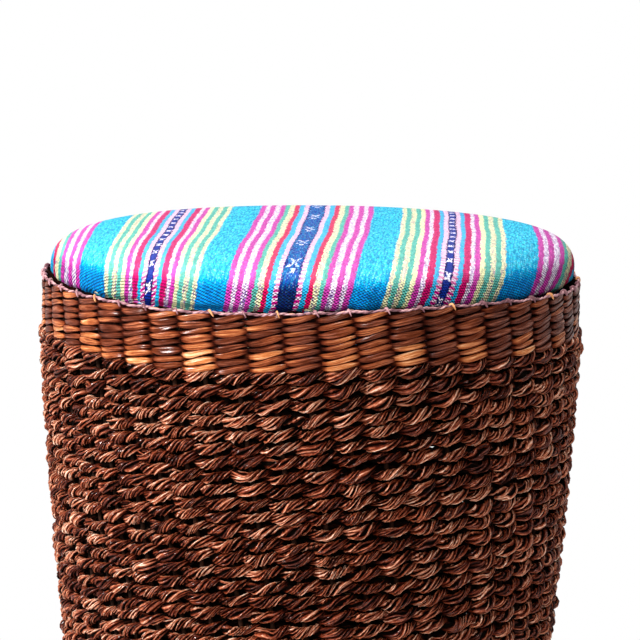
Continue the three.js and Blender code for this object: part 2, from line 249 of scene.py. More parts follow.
class Painter:
    """A material and its node tree, ready for a finish to fill in."""

    def __init__(self, name: str) -> None:
        """Starts a material with its Principled shader.

        Args:
            name: the material's name.
        """
        self.material = bpy.data.materials.new(name)
        self.material.use_nodes = True
        self.tree = self.material.node_tree
        self.shader = self.tree.nodes["Principled BSDF"]

    def feed(self, socket: bpy.types.NodeSocket, value: object) -> None:
        """Gives a socket a wire, a number or a colour.

        Args:
            socket: the input socket.
            value: what it gets; a colour is a triple.
        """
        if isinstance(value, Wire):
            self.tree.links.new(value.socket, socket)
        elif isinstance(value, tuple) and socket.type == "RGBA":
            socket.default_value = (*value, 1.0)
        else:
            socket.default_value = value

    def node(
        self,
        kind: str,
        settings: Mapping[str, object] | None = None,
        inputs: Mapping[int | str, object] | None = None,
        output: int | str = 0,
    ) -> Wire:
        """Adds one node.

        Args:
            kind: the node's type.
            settings: its settings, set first; a ramp takes stops and kind.
            inputs: values or wires for its sockets, by place or name.
            output: the output that is wanted.

        Returns:
            That output.
        """
        node = self.tree.nodes.new(kind)
        rest = dict(settings or {})
        if "stops" in rest:
            self.set_stops(node.color_ramp, rest.pop("stops"), rest.pop("kind"))
        for name, value in rest.items():
            setattr(node, name, value)
        for key, value in (inputs or {}).items():
            self.feed(node.inputs[key], value)
        return Wire(self, node.outputs[output])

    @staticmethod
    def set_stops(ramp: bpy.types.ColorRamp, stops: Stops, kind: str) -> None:
        """Fills a colour ramp with its stops.

        Args:
            ramp: the ramp.
            stops: its stops, in order.
            kind: its interpolation.
        """
        ramp.interpolation = kind
        while len(ramp.elements) < len(stops):
            ramp.elements.new(1.0)
        for element, (position, colour) in zip(ramp.elements, stops):
            element.position = position
            element.color = (*colour, 1.0)

    def attribute(self, name: str, output: str = "Fac") -> Wire:
        """Reads a piece's own attribute."""
        return self.node("ShaderNodeAttribute", {"attribute_name": name}, output=output)

    def place(self, output: str = "Object") -> Wire:
        """Reads a point's place: Object, in metres, or UV, on the piece's own map."""
        return self.node("ShaderNodeTexCoord", output=output)

    def split(self, vector: Wire) -> tuple[Wire, Wire, Wire]:
        """Splits a vector into its three numbers."""
        x = self.node("ShaderNodeSeparateXYZ", None, {0: vector})
        return tuple(Wire(self, output) for output in x.socket.node.outputs)

    def joined(self, x: object, y: object, z: object = 0.0) -> Wire:
        """Joins three numbers into a vector."""
        return self.node("ShaderNodeCombineXYZ", None, {0: x, 1: y, 2: z})

    def stretched(self, vector: Wire, scale: Colour) -> Wire:
        """Scales a vector along its three axes."""
        return self.node("ShaderNodeVectorMath", {"operation": "MULTIPLY"}, {0: vector, 1: scale})

    def noise(self, vector: Wire, scale: float, detail: float = 2.0, roughness: float = 0.5) -> Wire:
        """Smooth noise from 0 to 1, with a mean of a half."""
        inputs = {"Vector": vector, "Scale": scale, "Detail": detail, "Roughness": roughness}
        return self.node("ShaderNodeTexNoise", None, inputs)

    def grain(self, scale: Colour, detail: float, roughness: float, output: str = "Object") -> Wire:
        """Noise that is drawn out along an axis of the piece or of its map."""
        return self.noise(self.stretched(self.place(output), scale), 1.0, detail, roughness)

    def crisp(self, value: Wire, low: float, high: float) -> Wire:
        """Rises smoothly from 0 at low to 1 at high."""
        settings = {"interpolation_type": "SMOOTHSTEP"}
        return self.node("ShaderNodeMapRange", settings, {0: value, 1: low, 2: high})

    def cell_noise(self, vector: Wire) -> Wire:
        """One random number from 0 to 1 for each value of the vector."""
        return self.node("ShaderNodeTexWhiteNoise", {"noise_dimensions": "3D"}, {"Vector": vector})

    def mixed(self, share: Wire, first: object, second: object, blend: str = "MIX") -> Wire:
        """Mixes two colours.

        Args:
            share: 0 for the first colour alone, 1 for the blend's full effect.
            first: a colour or a wire.
            second: a colour or a wire.
            blend: the blend mode.

        Returns:
            The mixed colour.
        """
        settings = {"data_type": "RGBA", "blend_type": blend}
        return self.node("ShaderNodeMix", settings, {0: share, 6: first, 7: second}, output=2)

    def shaded(self, colour: Wire, factor: Wire) -> Wire:
        """Multiplies a colour by a number."""
        return self.node("ShaderNodeVectorMath", {"operation": "SCALE"}, {0: colour, "Scale": factor})

    def bump(self, height: Wire, depth: float) -> Wire:
        """Turns a height from 0 to 1 into a normal; depth is in millimetres."""
        inputs = {"Strength": 1.0, "Distance": depth * METRES, "Height": height}
        return self.node("ShaderNodeBump", None, inputs, output="Normal")

    def finish(self, colour: Wire, roughness: object, **others: object) -> bpy.types.Material:
        """Sets the Principled shader's sockets and finishes the material.

        Args:
            colour: the base colour.
            roughness: a number or a wire.
            others: other sockets' values, an underscore standing for each space of a name.

        Returns:
            The material.
        """
        sockets = {"Base_Color": colour, "Roughness": roughness, **others}
        for name, value in sockets.items():
            self.feed(self.shader.inputs[name.replace("_", " ")], value)
        return self.material


@dataclass
class Shell:
    """A mesh in the making: points in millimetres, faces, and what the points carry."""

    points: Array
    faces: list[Array]
    map_place: Array | None = None
    marks: dict[str, Array] = field(default_factory=dict)

    @staticmethod
    def grid(rows: int, columns: int, closed: bool) -> Array:
        """Faces of a grid of points numbered row by row, whose last column joins the first.

        Args:
            rows: how many rows of points.
            columns: how many points in a row.
            closed: whether the last row joins the first too.

        Returns:
            The quads, turned so that the rows' direction crossed with the columns' points outwards.
        """
        i = np.arange(rows if closed else rows - 1)[:, None] * columns
        j = np.arange(columns)[None, :]
        i_next, j_next = (i + columns) % (rows * columns), (j + 1) % columns
        return np.stack([i + j, i_next + j, i_next + j_next, i + j_next], axis=-1).reshape(-1, 4)

    @classmethod
    def capped(cls, rows: int, columns: int) -> list[Array]:
        """Faces of a grid that ends in two points, which are numbered after the grid's own.

        Args:
            rows: how many rows of points.
            columns: how many points in a row.

        Returns:
            The grid's quads, and a fan of triangles for each end.
        """
        side = np.arange(columns)
        after = (side + 1) % columns
        end = rows * columns
        last = end - columns
        first_fan = np.stack([np.full(columns, end), side, after], axis=-1)
        last_fan = np.stack([np.full(columns, end + 1), last + after, last + side], axis=-1)
        return [cls.grid(rows, columns, False), first_fan, last_fan]

    @classmethod
    def of_loops(cls, points: Array, marks: Mapping[str, Array | float]) -> "Shell":
        """Makes closed tubes that go round the stool.

        The map place lays the strands out as rows, one above the other, as long as the map is wide.

        Args:
            points: any number of strands, each steps by sides by three.
            marks: values that fit the points' shape, less its last axis.

        Returns:
            The shell of all the strands.
        """
        shape = points.shape[:-1]
        steps, sides = shape[-2:]
        strands = math.prod(shape) // (steps * sides)
        strand = np.arange(strands)[:, None, None]
        faces = (cls.grid(steps, sides, True) + strand * (steps * sides)).reshape(-1, 4)
        step = np.array([0.0, 1.0, 1.0, 0.0]) / steps
        rise = np.array([0.0, 0.0, 1.0, 1.0]) * ROW_SHARE / sides / strands
        u = np.arange(steps)[:, None, None] / steps + step
        v = (ROW_MARGIN + ROW_SHARE * np.arange(sides) / sides)[:, None] / strands + rise
        place = np.stack(np.broadcast_arrays(u, v + strand[..., None] / strands), axis=-1)
        flat = {name: np.broadcast_to(value, shape).ravel() for name, value in marks.items()}
        return cls(points.reshape(-1, 3), [faces], place.reshape(-1, 2), flat)

    @classmethod
    def of_rods(cls, points: Array, marks: Mapping[str, Array | float]) -> "Shell":
        """Makes open-ended tubes, each closed by a point at both ends.

        Args:
            points: rods by steps by sides by three.
            marks: values that fit the points' shape, less its last axis.

        Returns:
            The shell of all the rods.
        """
        rods, steps, sides, _ = points.shape
        offsets = np.arange(rods)[:, None, None] * (steps * sides + 2)
        faces = [(part + offsets).reshape(-1, part.shape[1]) for part in cls.capped(steps, sides)]
        ends = np.stack([points[:, 0].mean(axis=1), points[:, -1].mean(axis=1)], axis=1)
        whole = np.concatenate([points.reshape(rods, -1, 3), ends], axis=1)
        flat = {}
        for name, value in marks.items():
            full = np.broadcast_to(value, points.shape[:3]).reshape(rods, -1)
            flat[name] = np.concatenate([full, full[:, :1], full[:, -1:]], axis=1).ravel()
        return cls(whole.reshape(-1, 3), faces, None, flat)

    @classmethod
    def turned(cls, rings: Array, top: float, bottom: float) -> "Shell":
        """Makes a closed surface of rings round the middle.

        Args:
            rings: rings by columns by three, from the top outwards and down.
            top: the height of the point inside the first ring.
            bottom: the height of the point inside the last ring.

        Returns:
            The shell, whose last two points are those.
        """
        poles = [[0.0, 0.0, top], [0.0, 0.0, bottom]]
        return cls(np.concatenate([rings.reshape(-1, 3), poles]), cls.capped(*rings.shape[:2]))

    def joined(self, other: "Shell") -> "Shell":
        """Joins this shell and another, whose map places then lie side by side.

        Args:
            other: the other shell, which gets a narrow strip of the map.

        Returns:
            The two as one.
        """
        faces = [*self.faces, *[face + len(self.points) for face in other.faces]]
        marks = {name: np.concatenate([self.marks[name], other.marks[name]]) for name in self.marks}
        place = None
        if self.map_place is not None and other.map_place is not None:
            narrow = other.map_place * (NARROW_STRIP, 1.0) + (1.0 - NARROW_STRIP, 0.0)
            place = np.concatenate([self.map_place * (WIDE_STRIP, 1.0), narrow])
        return Shell(np.concatenate([self.points, other.points]), faces, place, marks)

    def piece(self, name: str, material: bpy.types.Material) -> bpy.types.Object:
        """Makes the Blender object, at the origin and in metres.

        Args:
            name: the piece's name.
            material: its finish.

        Returns:
            The object, linked to the scene.
        """
        loops = np.concatenate([face.ravel() for face in self.faces]).astype(np.int32)
        sizes = np.concatenate([np.full(len(face), face.shape[1]) for face in self.faces])
        starts = np.concatenate([[0], np.cumsum(sizes)[:-1]]).astype(np.int32)
        mesh = bpy.data.meshes.new(name)
        mesh.vertices.add(len(self.points))
        mesh.vertices.foreach_set("co", (self.points * METRES).astype(np.float32).ravel())
        mesh.loops.add(len(loops))
        mesh.loops.foreach_set("vertex_index", loops)
        mesh.polygons.add(len(sizes))
        mesh.polygons.foreach_set("loop_start", starts)
        mesh.update(calc_edges=True)
        mesh.polygons.foreach_set("use_smooth", np.ones(len(sizes), bool))
        if self.map_place is not None:
            layer = mesh.uv_layers.new(name="OFBake")
            layer.data.foreach_set("uv", self.map_place.astype(np.float32).ravel())
        for mark, values in self.marks.items():
            kind, key = ("FLOAT", "value") if values.ndim == 1 else ("FLOAT_VECTOR", "vector")
            attribute = mesh.attributes.new(mark, kind, "POINT")
            attribute.data.foreach_set(key, values.astype(np.float32).ravel())
        mesh.materials.append(material)
        piece = bpy.data.objects.new(name, mesh)
        bpy.context.scene.collection.objects.link(piece)
        return piece


def settle(piece: bpy.types.Object, body: Body, node: str) -> None:
    """Ties a piece to its body and the CAD node that it stands for.

    Args:
        piece: the finished piece.
        body: the body that carries it.
        node: the CAD node that it replaces.
    """
    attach(piece, body.value)
    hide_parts(node)
    LOG.info("%s: %d faces, for %s", piece.name, len(piece.data.polygons), node)


@dataclass(frozen=True)
class LeafRope:
    """Dry leaf twisted into rope: thin glossy strips, red brown with tan ones among them."""

    name: str = "leaf_rope"
    stops: Stops = shades(
        (0.0, 38, 8, 3), (0.28, 96, 36, 18), (0.52, 154, 74, 42), (0.78, 216, 144, 108), (1.0, 250, 216, 190)
    )
    grain: tuple[Colour, float, float] = ((300.0, 360.0, 1.0), 3.0, 0.6)
    grain_span: Span = (0.34, 0.66)
    streaks: float = 0.36
    patch_scale: float = 70.0
    # shadow: how far the painted shade darkens the colour.
    shadow: float = 0.98
    dullness: float = 0.4
    coat_roughness: float = 0.18
    grain_depth: float = 0.4
    sheen: Colour = (1.0, 0.74, 0.58)
    # deep: the red colour that the painted shade tints towards.
    deep: Colour = (1.0, 0.4, 0.25)

    def coat(self, painter: Painter, grain: Wire) -> Wire:
        """How glossy the strips are between their dull fibres."""
        return grain * 0.9 + 0.1

    def material(self) -> bpy.types.Material:
        """Colour follows each strand's tone and fine fibres run along it; the shade attribute paints shade
        in, darker and redder at the crossings, in recesses and at the strips' edges.

        Returns:
            The material.
        """
        painter = Painter(self.name)
        tone, shade = painter.attribute("tone"), painter.attribute("shade")
        grain = painter.crisp(painter.grain(*self.grain, "UV"), *self.grain_span)
        patches = painter.noise(painter.place(), self.patch_scale)
        value = tone + (grain - 0.5) * self.streaks + (patches - 0.5) * 0.3
        # Painted shade: the shade attribute darkens the colour and tints it red.
        colour = painter.shaded(value.ramp(self.stops), 1.0 - shade * self.shadow)
        return painter.finish(
            painter.mixed(shade, colour, self.deep, "MULTIPLY"),
            self.dullness + grain * 0.2 + shade * 0.4,
            Normal=painter.bump(grain, self.grain_depth),
            Specular_IOR_Level=0.06,
            Specular_Tint=self.sheen,
            Coat_Weight=(1.0 - shade) ** 2.0 * self.coat(painter, grain),
            Coat_Roughness=self.coat_roughness,
        )


@dataclass(frozen=True)
class FlatReed(LeafRope):
    """Split reed, stained from orange to dark brown and varnished."""

    name: str = "flat_reed"
    stops: Stops = shades(
        (0.0, 52, 14, 3), (0.3, 94, 38, 15), (0.52, 144, 72, 38), (0.76, 204, 124, 68), (1.0, 244, 198, 152)
    )
    grain: tuple[Colour, float, float] = ((56.0, 190.0, 1.0), 4.0, 0.7)
    grain_span: Span = (0.3, 0.68)
    streaks: float = 0.5
    patch_scale: float = 38.0
    shadow: float = 0.97
    dullness: float = 0.36
    coat_roughness: float = 0.25
    grain_depth: float = 0.5
    sheen: Colour = (1.0, 0.78, 0.62)

    def coat(self, painter: Painter, grain: Wire) -> Wire:
        """How glossy the varnish is: along the palest streaks only."""
        return painter.crisp(grain, 0.42, 1.0) * 0.9


@dataclass(frozen=True)
class RimFibre:
    """The rim's thin twisted cord, purple brown with paler fibres, and its tan stitches."""

    stops: Stops = shades(
        (0.0, 58, 24, 30), (0.3, 112, 64, 72), (0.55, 200, 150, 152), (0.8, 204, 136, 80),
        (1.0, 204, 136, 80),
    )

    def material(self) -> bpy.types.Material:
        """Streaky fibre whose tone runs from dark plum to tan.

        Returns:
            The material.
        """
        painter = Painter("rim_cord")
        streaks = painter.noise(painter.stretched(painter.place(), (1.0, 1.0, 2.4)), 520.0, 3.0, 0.6)
        colour = (painter.attribute("tone") + (streaks - 0.5) * 0.3).ramp(self.stops)
        return painter.finish(colour, 0.38 + streaks * 0.3, Normal=painter.bump(streaks, 0.2))


@dataclass(frozen=True)
class PeeledCane:
    """Peeled rattan, finely streaked along its length and darker at the nodes."""

    name: str = "cane"
    stops: Stops = shades((0.15, 122, 84, 46), (0.5, 184, 140, 86), (0.85, 218, 180, 124))
    gloss: float = 0.5

    @classmethod
    def stained(cls) -> "PeeledCane":
        """The same cane, painted near black like the shade in the weave's gaps, and dull."""
        # Painted shade: near-black stops so that the stakes read as shade between the courses.
        return cls("stained_cane", shades((0.15, 14, 8, 6), (0.5, 34, 18, 11), (0.85, 58, 32, 20)), 0.05)

    def material(self) -> bpy.types.Material:
        """Streaks run along the pole; the joint attribute darkens its rings.

        Returns:
            The material.
        """
        painter = Painter(self.name)
        streaks = painter.grain((420.0, 420.0, 16.0), 3.0, 0.6)
        stains = painter.noise(painter.place(), 22.0)
        value = streaks * 0.6 + stains * 0.5 - painter.attribute("joint") * 0.5
        normal = painter.bump(streaks, 0.15)
        roughness = 0.42 + streaks * 0.25
        colour = value.ramp(self.stops)
        return painter.finish(colour, roughness, Normal=normal, Specular_IOR_Level=self.gloss)


class Grain(Enum):
    """The way the grain of a sawn piece runs: scales along X, Y and Z."""

    ALONG_X = (7.0, 120.0, 120.0)
    ALONG_Y = (120.0, 7.0, 120.0)
    ROUND = (46.0, 46.0, 120.0)


@dataclass(frozen=True)
class SawnTimber:
    """Plain softwood off the saw, with growth rings, saw marks and a few stains."""

    grain: Grain
    stops: Stops = shades((0.1, 158, 114, 66), (0.5, 202, 162, 108), (0.9, 226, 194, 144))
    rings: float = 38.0

    def material(self) -> bpy.types.Material:
        """Bands of early and late wood, warped a little, under fine saw marks.

        Returns:
            The material.
        """
        painter = Painter("timber_" + self.grain.name.lower())
        place = painter.stretched(painter.place(), self.grain.value)
        bands = (painter.noise(place, 0.5, 3.0) * self.rings).sine() * 0.5 + 0.5
        fibres = painter.noise(place, 6.0, 3.0, 0.7)
        colour = (bands * 0.4 + fibres * 0.6).ramp(self.stops)
        return painter.finish(colour, 0.6 + fibres * 0.25, Normal=painter.bump(fibres, 0.25))


@dataclass(frozen=True)
class Plywood:
    """An unfinished plywood board: pale faces and a layered edge."""

    plies: float = 5.0
    bottom: float = 354.2
    thickness: float = 9.0
    glue_share: float = 0.12
    stops: Stops = shades((0.2, 188, 150, 100), (0.8, 226, 198, 152))

    def material(self) -> bpy.types.Material:
        """Grain along X on the faces; dark glue lines and turned plies by height.

        Returns:
            The material.
        """
        painter = Painter("plywood")
        height = painter.split(painter.place())[2]
        level = (height / METRES - self.bottom) * (self.plies / self.thickness)
        turned, glue = (level % 2.0) > 1.0, (level % 1.0) < self.glue_share
        grain = painter.grain((16.0, 260.0, 260.0), 4.0, 0.6)
        colour = painter.mixed(turned * 0.25, grain.ramp(self.stops), linear(150, 108, 66))
        colour = painter.mixed(glue * 0.6, colour, linear(82, 52, 34))
        return painter.finish(colour, 0.6 + grain * 0.25, Normal=painter.bump(grain, 0.2))


@dataclass(frozen=True)
class ZincSteel:
    """Bright zinc-plated screws with a dull bloom."""

    stops: Stops = shades((0.3, 168, 164, 152), (0.7, 206, 204, 196))

    def material(self) -> bpy.types.Material:
        """Metal whose gloss changes with a fine noise.

        Returns:
            The material.
        """
        painter = Painter("screw_steel")
        bloom = painter.noise(painter.place(), 900.0, 3.0)
        return painter.finish(bloom.ramp(self.stops), 0.24 + bloom * 0.3, Metallic=1.0)


@dataclass(frozen=True)
class GlidePlastic:
    """Dark brown moulded glides, scuffed underneath."""

    stops: Stops = shades((0.35, 34, 28, 25), (0.75, 74, 64, 58))

    def material(self) -> bpy.types.Material:
        """A fine moulded texture, paler and rougher where it is scuffed.

        Returns:
            The material.
        """
        painter = Painter("glide_plastic")
        scuffs = painter.grain((60.0, 420.0, 60.0), 4.0, 0.7)
        normal = painter.bump(painter.noise(painter.place(), 1800.0), 0.05)
        return painter.finish(scuffs.ramp(self.stops), 0.35 + scuffs * 0.35, Normal=normal)


@dataclass(frozen=True)
class OpenFoam:
    """Pale cream upholstery foam with open cells."""

    stops: Stops = shades((0.3, 212, 200, 158), (0.7, 236, 228, 190))

    def material(self) -> bpy.types.Material:
        """Small cells as a bump and a slight change of colour.

        Returns:
            The material.
        """
        painter = Painter("foam")
        cells = painter.noise(painter.place(), 1400.0)
        return painter.finish(cells.ramp(self.stops), 0.95, Normal=painter.bump(cells, 0.5))


class Yarn(Enum):
    """The colours of the cloth's warp."""

    TURQUOISE = linear(68, 202, 226)
    NAVY = linear(50, 64, 146)
    MAGENTA = linear(200, 87, 170)
    CRIMSON = linear(198, 62, 114)
    RED = linear(206, 70, 104)
    PALE = linear(238, 236, 188)
    GREEN = linear(104, 180, 168)
    SKY = linear(84, 178, 224)
    WHITE = linear(240, 226, 242)
    LADDER = linear(240, 214, 234)


@dataclass(frozen=True)
class StripedCloth:
    """Warp-faced cotton: stripes along the cloth, ribs across it, ladder stripes and small white figures.

    The stripes mirror about the middle of each navy stripe. Each entry of stripes is a yarn and the
    distance from the middle of the wide navy stripe where it ends; the spans are such distances too.
    """

    half_repeat: float = 112.1
    wide_navy: float = 6.6
    rib: float = 2.3
    yarn: float = 0.8
    raggedness: float = 1.3
    figure_repeat: float = 80.0
    figure_start: float = 174.5
    small_figure_repeat: float = 23.0
    turquoise_span: Span = (47.0, 71.0)
    ladder_spans: tuple[Span, ...] = ((6.6, 10.4), (105.1, 109.0))
    pale_spans: tuple[Span, ...] = (
        (18.7, 22.9), (30.6, 34.8), (39.0, 42.8), (93.8, 97.2), (71.0, 74.6), (78.8, 82.4)
    )
    stripes: tuple[tuple[Yarn, float], ...] = (
        (Yarn.NAVY, 6.6), (Yarn.LADDER, 10.4), (Yarn.SKY, 14.5), (Yarn.RED, 18.7),
        (Yarn.PALE, 22.9), (Yarn.GREEN, 26.4), (Yarn.MAGENTA, 30.6), (Yarn.WHITE, 34.8),
        (Yarn.MAGENTA, 39.0), (Yarn.WHITE, 42.8), (Yarn.MAGENTA, 47.0), (Yarn.TURQUOISE, 71.0),
        (Yarn.PALE, 74.6), (Yarn.GREEN, 78.8), (Yarn.PALE, 82.4), (Yarn.GREEN, 86.6),
        (Yarn.PALE, 90.1), (Yarn.MAGENTA, 93.8), (Yarn.WHITE, 97.2), (Yarn.CRIMSON, 101.8),
        (Yarn.SKY, 105.1), (Yarn.LADDER, 109.0), (Yarn.NAVY, 112.1),
    )

    @staticmethod
    def within(value: Wire, *spans: Span) -> Wire:
        """1 where a value lies in one of the spans."""
        parts = [(value > low) * (value < high) for low, high in spans]
        return sum(parts[1:], parts[0])

    def figure(self, across: Wire, along: Wire) -> Wire:
        """The white figures on the wide navy stripe: a crossed pair of strokes above a short bar.

        Args:
            across: the distance from the stripe's middle.
            along: the distance along the stripe.

        Returns:
            1 on a figure, or 2 where its parts meet.
        """
        half = self.figure_repeat / 2.0
        step = (along + self.figure_start + half) % self.figure_repeat - half
        cross = (abs(abs(across) / 3.8 - abs(step) / 9.5) < 0.3) * (abs(step) < 9.5)
        return cross + self.within(step, (-18.5, -11.5)) * (abs(across) < 2.0)

    def small_figure(self, across: Wire, along: Wire) -> Wire:
        """The white marks on the narrow navy stripe: two short strokes that lean towards each other."""
        step = along % self.small_figure_repeat - self.small_figure_repeat / 2.0
        return (abs(across - abs(step) * 0.4) < 0.9) * (abs(step) < 4.2)

    def material(self) -> bpy.types.Material:
        """The weave: ragged stripes, ladders, figures, stray specks and the rounded ribs.

        A crossing is one yarn wide and one rib long, and every other yarn's crossings start half a rib
        on. Low on the side, near the rim, shade is painted in: the rib grooves and the colours darker,
        the turquoise and navy deeper blue, and the colours more saturated.

        Returns:
            The material.
        """
        painter = Painter("striped_cloth")
        # low is how steep the cloth is; what it weights below is painted shade low on the side, near the
        # rim.
        across, along, low = painter.split(painter.attribute("cloth", "Vector"))
        column = (across / self.yarn).floor()
        pair = (across / (2.0 * self.yarn)).floor()
        stray = painter.cell_noise(painter.joined(column, (along / self.rib + column * 0.5).floor()))
        fleck = painter.cell_noise(painter.joined(column + 0.5, (along * (2.0 / self.rib)).floor()))
        dash_step = (along * (0.45 / self.rib) + pair * 0.5).floor()
        dash = painter.cell_noise(painter.joined(pair, dash_step, 3.0))
        fray = painter.noise(painter.joined(across * 0.1, along), 0.5)
        heather = painter.noise(painter.joined(across, along * 0.4), 0.55)
        slub = painter.crisp(painter.noise(painter.joined(across, along * 0.14), 0.62, 1.0), 0.42, 0.62)
        shifted = across + (fray - 0.5) * 0.9 + (stray - 0.5) * self.raggedness
        signed = (shifted + self.half_repeat) % (2.0 * self.half_repeat) - self.half_repeat
        distance = abs(signed)
        narrow = self.half_repeat - distance
        starts = [0.0, *[end / self.half_repeat for _, end in self.stripes[:-1]]]
        stops = [(start, yarn.value) for start, (yarn, _) in zip(starts, self.stripes)]
        colour = (distance / self.half_repeat).ramp(stops, "CONSTANT")

        wide = distance < self.wide_navy
        turquoise = self.within(distance, self.turquoise_span)
        plain = turquoise + wide
        pale = self.within(distance, *self.pale_spans)
        rung = ((along / self.rib).floor() % 2.0) > 0.5
        figures = self.figure(signed, along) * (distance < 5.0) + self.small_figure(narrow, along)
        touches = [
            # The ladder rungs and flecks are real marks; their weighting by low, stronger low on the side,
            # is painted shade.
            (self.within(distance, *self.ladder_spans) * rung * (low * 0.5 + 0.5), (214, 74, 150)),
            (self.within(distance, (5.4, self.wide_navy)) + self.within(narrow, (2.2, 3.1)), (34, 34, 88)),
            ((figures > 0.5) * (stray > 0.16), (240, 234, 248)),
            ((fleck > 0.8) * pale * (0.5 + low * 0.36), (104, 62, 150)),
            ((fleck > 0.78) * plain * (0.45 + low * 0.35), (14, 92, 190)),
            ((fleck < 0.14) * plain * 0.4, (186, 232, 246)),
            (slub * plain * 0.62, (22, 136, 198)),
            (slub * pale * 0.28, (150, 92, 176)),
            # Painted shade: the turquoise and the wide navy stripe darker and bluer low on the side.
            (turquoise * low * 0.62, (0, 116, 222)),
            (wide * low * 0.9, (10, 18, 72)),
        ]
        for share, shade in touches:
            colour = painter.mixed(share, colour, linear(*shade))

        ribs = ((along * (TURN / self.rib) + (pair % 2.0) * 2.6 + stray * 0.8).sine() * 0.5 + 0.5) ** 0.8
        yarns = ((shifted * (TURN / self.yarn)).sine() * 0.5 + 0.5) ** 0.5
        # Painted shade in the rib grooves, much stronger low on the side.
        groove_shade = (1.0 - ribs) * (0.14 + low * 0.9)
        tone = 0.58 + stray * 0.36 + heather * 0.44 + dash * 0.26 - slub * 0.13
        # Painted shade: the whole colour darker low on the side.
        tone = tone * (1.0 - groove_shade) * (1.0 - low * 0.18)
        # Painted shade: the colour more saturated low on the side.
        inputs = {"Saturation": low * 0.12 + 1.0, "Color": colour}
        deeper = painter.node("ShaderNodeHueSaturation", None, inputs)
        normal = painter.bump(ribs * 0.8 + yarns * 0.2, 0.42)
        roughness = 0.84 + stray * 0.1
        colour = painter.shaded(deeper, tone)
        return painter.finish(colour, roughness, Normal=normal, Specular_IOR_Level=0.07)


@dataclass(frozen=True)
class DrumShape:
    """The stool's governing sizes: heights and the rim as the frame has them, and the side's two radii."""

    floor_gap: float
    body_bottom: float
    body_top: float
    band_top: float
    rim_radius: float
    rim_height: float
    shoulder_radius: float = 213.0
    foot_radius: float = 181.0
    bulge: float = 2.7
    stakes: int = 48
    rope_thickness: float = 8.0
    band_thickness: float = 5.0
    stake_radius: float = 2.0
    stake_gap: float = 0.6
    rim_turn: float = 1.2
    twist: float = 15.4
    rim_wave: tuple[Span, ...] = ((-0.3, 0.4), (0.4, -0.8), (-1.35, 0.3), (-0.2, 0.5))
    shoulder_wave: tuple[Span, ...] = ((0.9, 1.2), (1.8, -0.9), (-1.1, -0.5), (1.1, 1.5))
    wave_reach: float = 190.0

    @classmethod
    def from_frame(cls) -> "DrumShape":
        """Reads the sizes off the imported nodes.

        Returns:
            The shape.
        """
        body_low, body_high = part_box("woven_body")
        band_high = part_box("woven_band")[1]
        heights = (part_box("foot_border")[0].z, body_low.z, body_high.z, band_high.z)
        rim = (band_high.x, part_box("rim_cord")[1].z)
        return cls(*[size / METRES for size in (*heights, *rim)])

    def crest(self, height: Array) -> Array:
        """Radius of the rope crests: a straight taper plus a parabolic bulge.

        Args:
            height: the height.

        Returns:
            The radius at that height.
        """
        share = (height - self.floor_gap) / (self.body_top - self.floor_gap)
        taper = self.foot_radius + (self.shoulder_radius - self.foot_radius) * share
        return taper + 4.0 * self.bulge * share * (1.0 - share)

    def stake_line(self, height: Array) -> Array:
        """Radius of the stakes' centre line, just inside the weave."""
        inner = np.minimum(self.crest(height) - self.rope_thickness, self.rim_radius - self.band_thickness)
        return inner - self.stake_gap - self.stake_radius

    def lean(self, height: Array) -> Array:
        """How far the columns of stitches have turned at a height, in radians."""
        share = (self.rim_height - height) / (self.rim_height - self.floor_gap)
        return np.radians(self.rim_turn + self.twist * share)

    @staticmethod
    def harmonics(waves: Sequence[Span], turn: Array) -> Array:
        """A sum of cosines and sines of whole multiples of the turn.

        Args:
            waves: the sizes of each multiple's cosine and sine, from the turn itself on.
            turn: the turn round the stool.

        Returns:
            The sum.
        """
        angle = turn[..., None] * np.arange(1, len(waves) + 1)
        cosines, sines = np.array(waves).T
        return (cosines * np.cos(angle) + sines * np.sin(angle)).sum(axis=-1)

    def wave(self, turn: Array, height: Array) -> Array:
        """How far hand weaving lifts or drops the courses.

        One wave runs along the rim and another along the shoulder under the band. They are blended
        over the band's height, and the shoulder's fades out down the side.

        Args:
            turn: the turn round the stool.
            height: the height.

        Returns:
            The lift.
        """
        turn, height = np.broadcast_arrays(np.asarray(turn, float), np.asarray(height, float))
        rim = self.harmonics(self.rim_wave, turn)
        shoulder = self.harmonics(self.shoulder_wave, turn)
        up = np.clip((height - self.body_top) / (self.rim_height - self.body_top), 0.0, 1.0)
        fade = smooth_step(height, self.body_top - self.wave_reach, self.body_top)
        return rim * up + shoulder * (1.0 - up) * fade

    def phase(self, turn: Array, height: Array) -> Array:
        """A weaver's phase: half a turn from each stake to the next, zero where it lies on the outside."""
        first = 0.5 * TURN / self.stakes
        return 0.5 * self.stakes * (turn - first - self.lean(height))

    def turn_at(self, phase: Array, height: Array) -> Array:
        """The turn round the stool at which a weaver has a phase."""
        return phase / (0.5 * self.stakes) + 0.5 * TURN / self.stakes + self.lean(height)


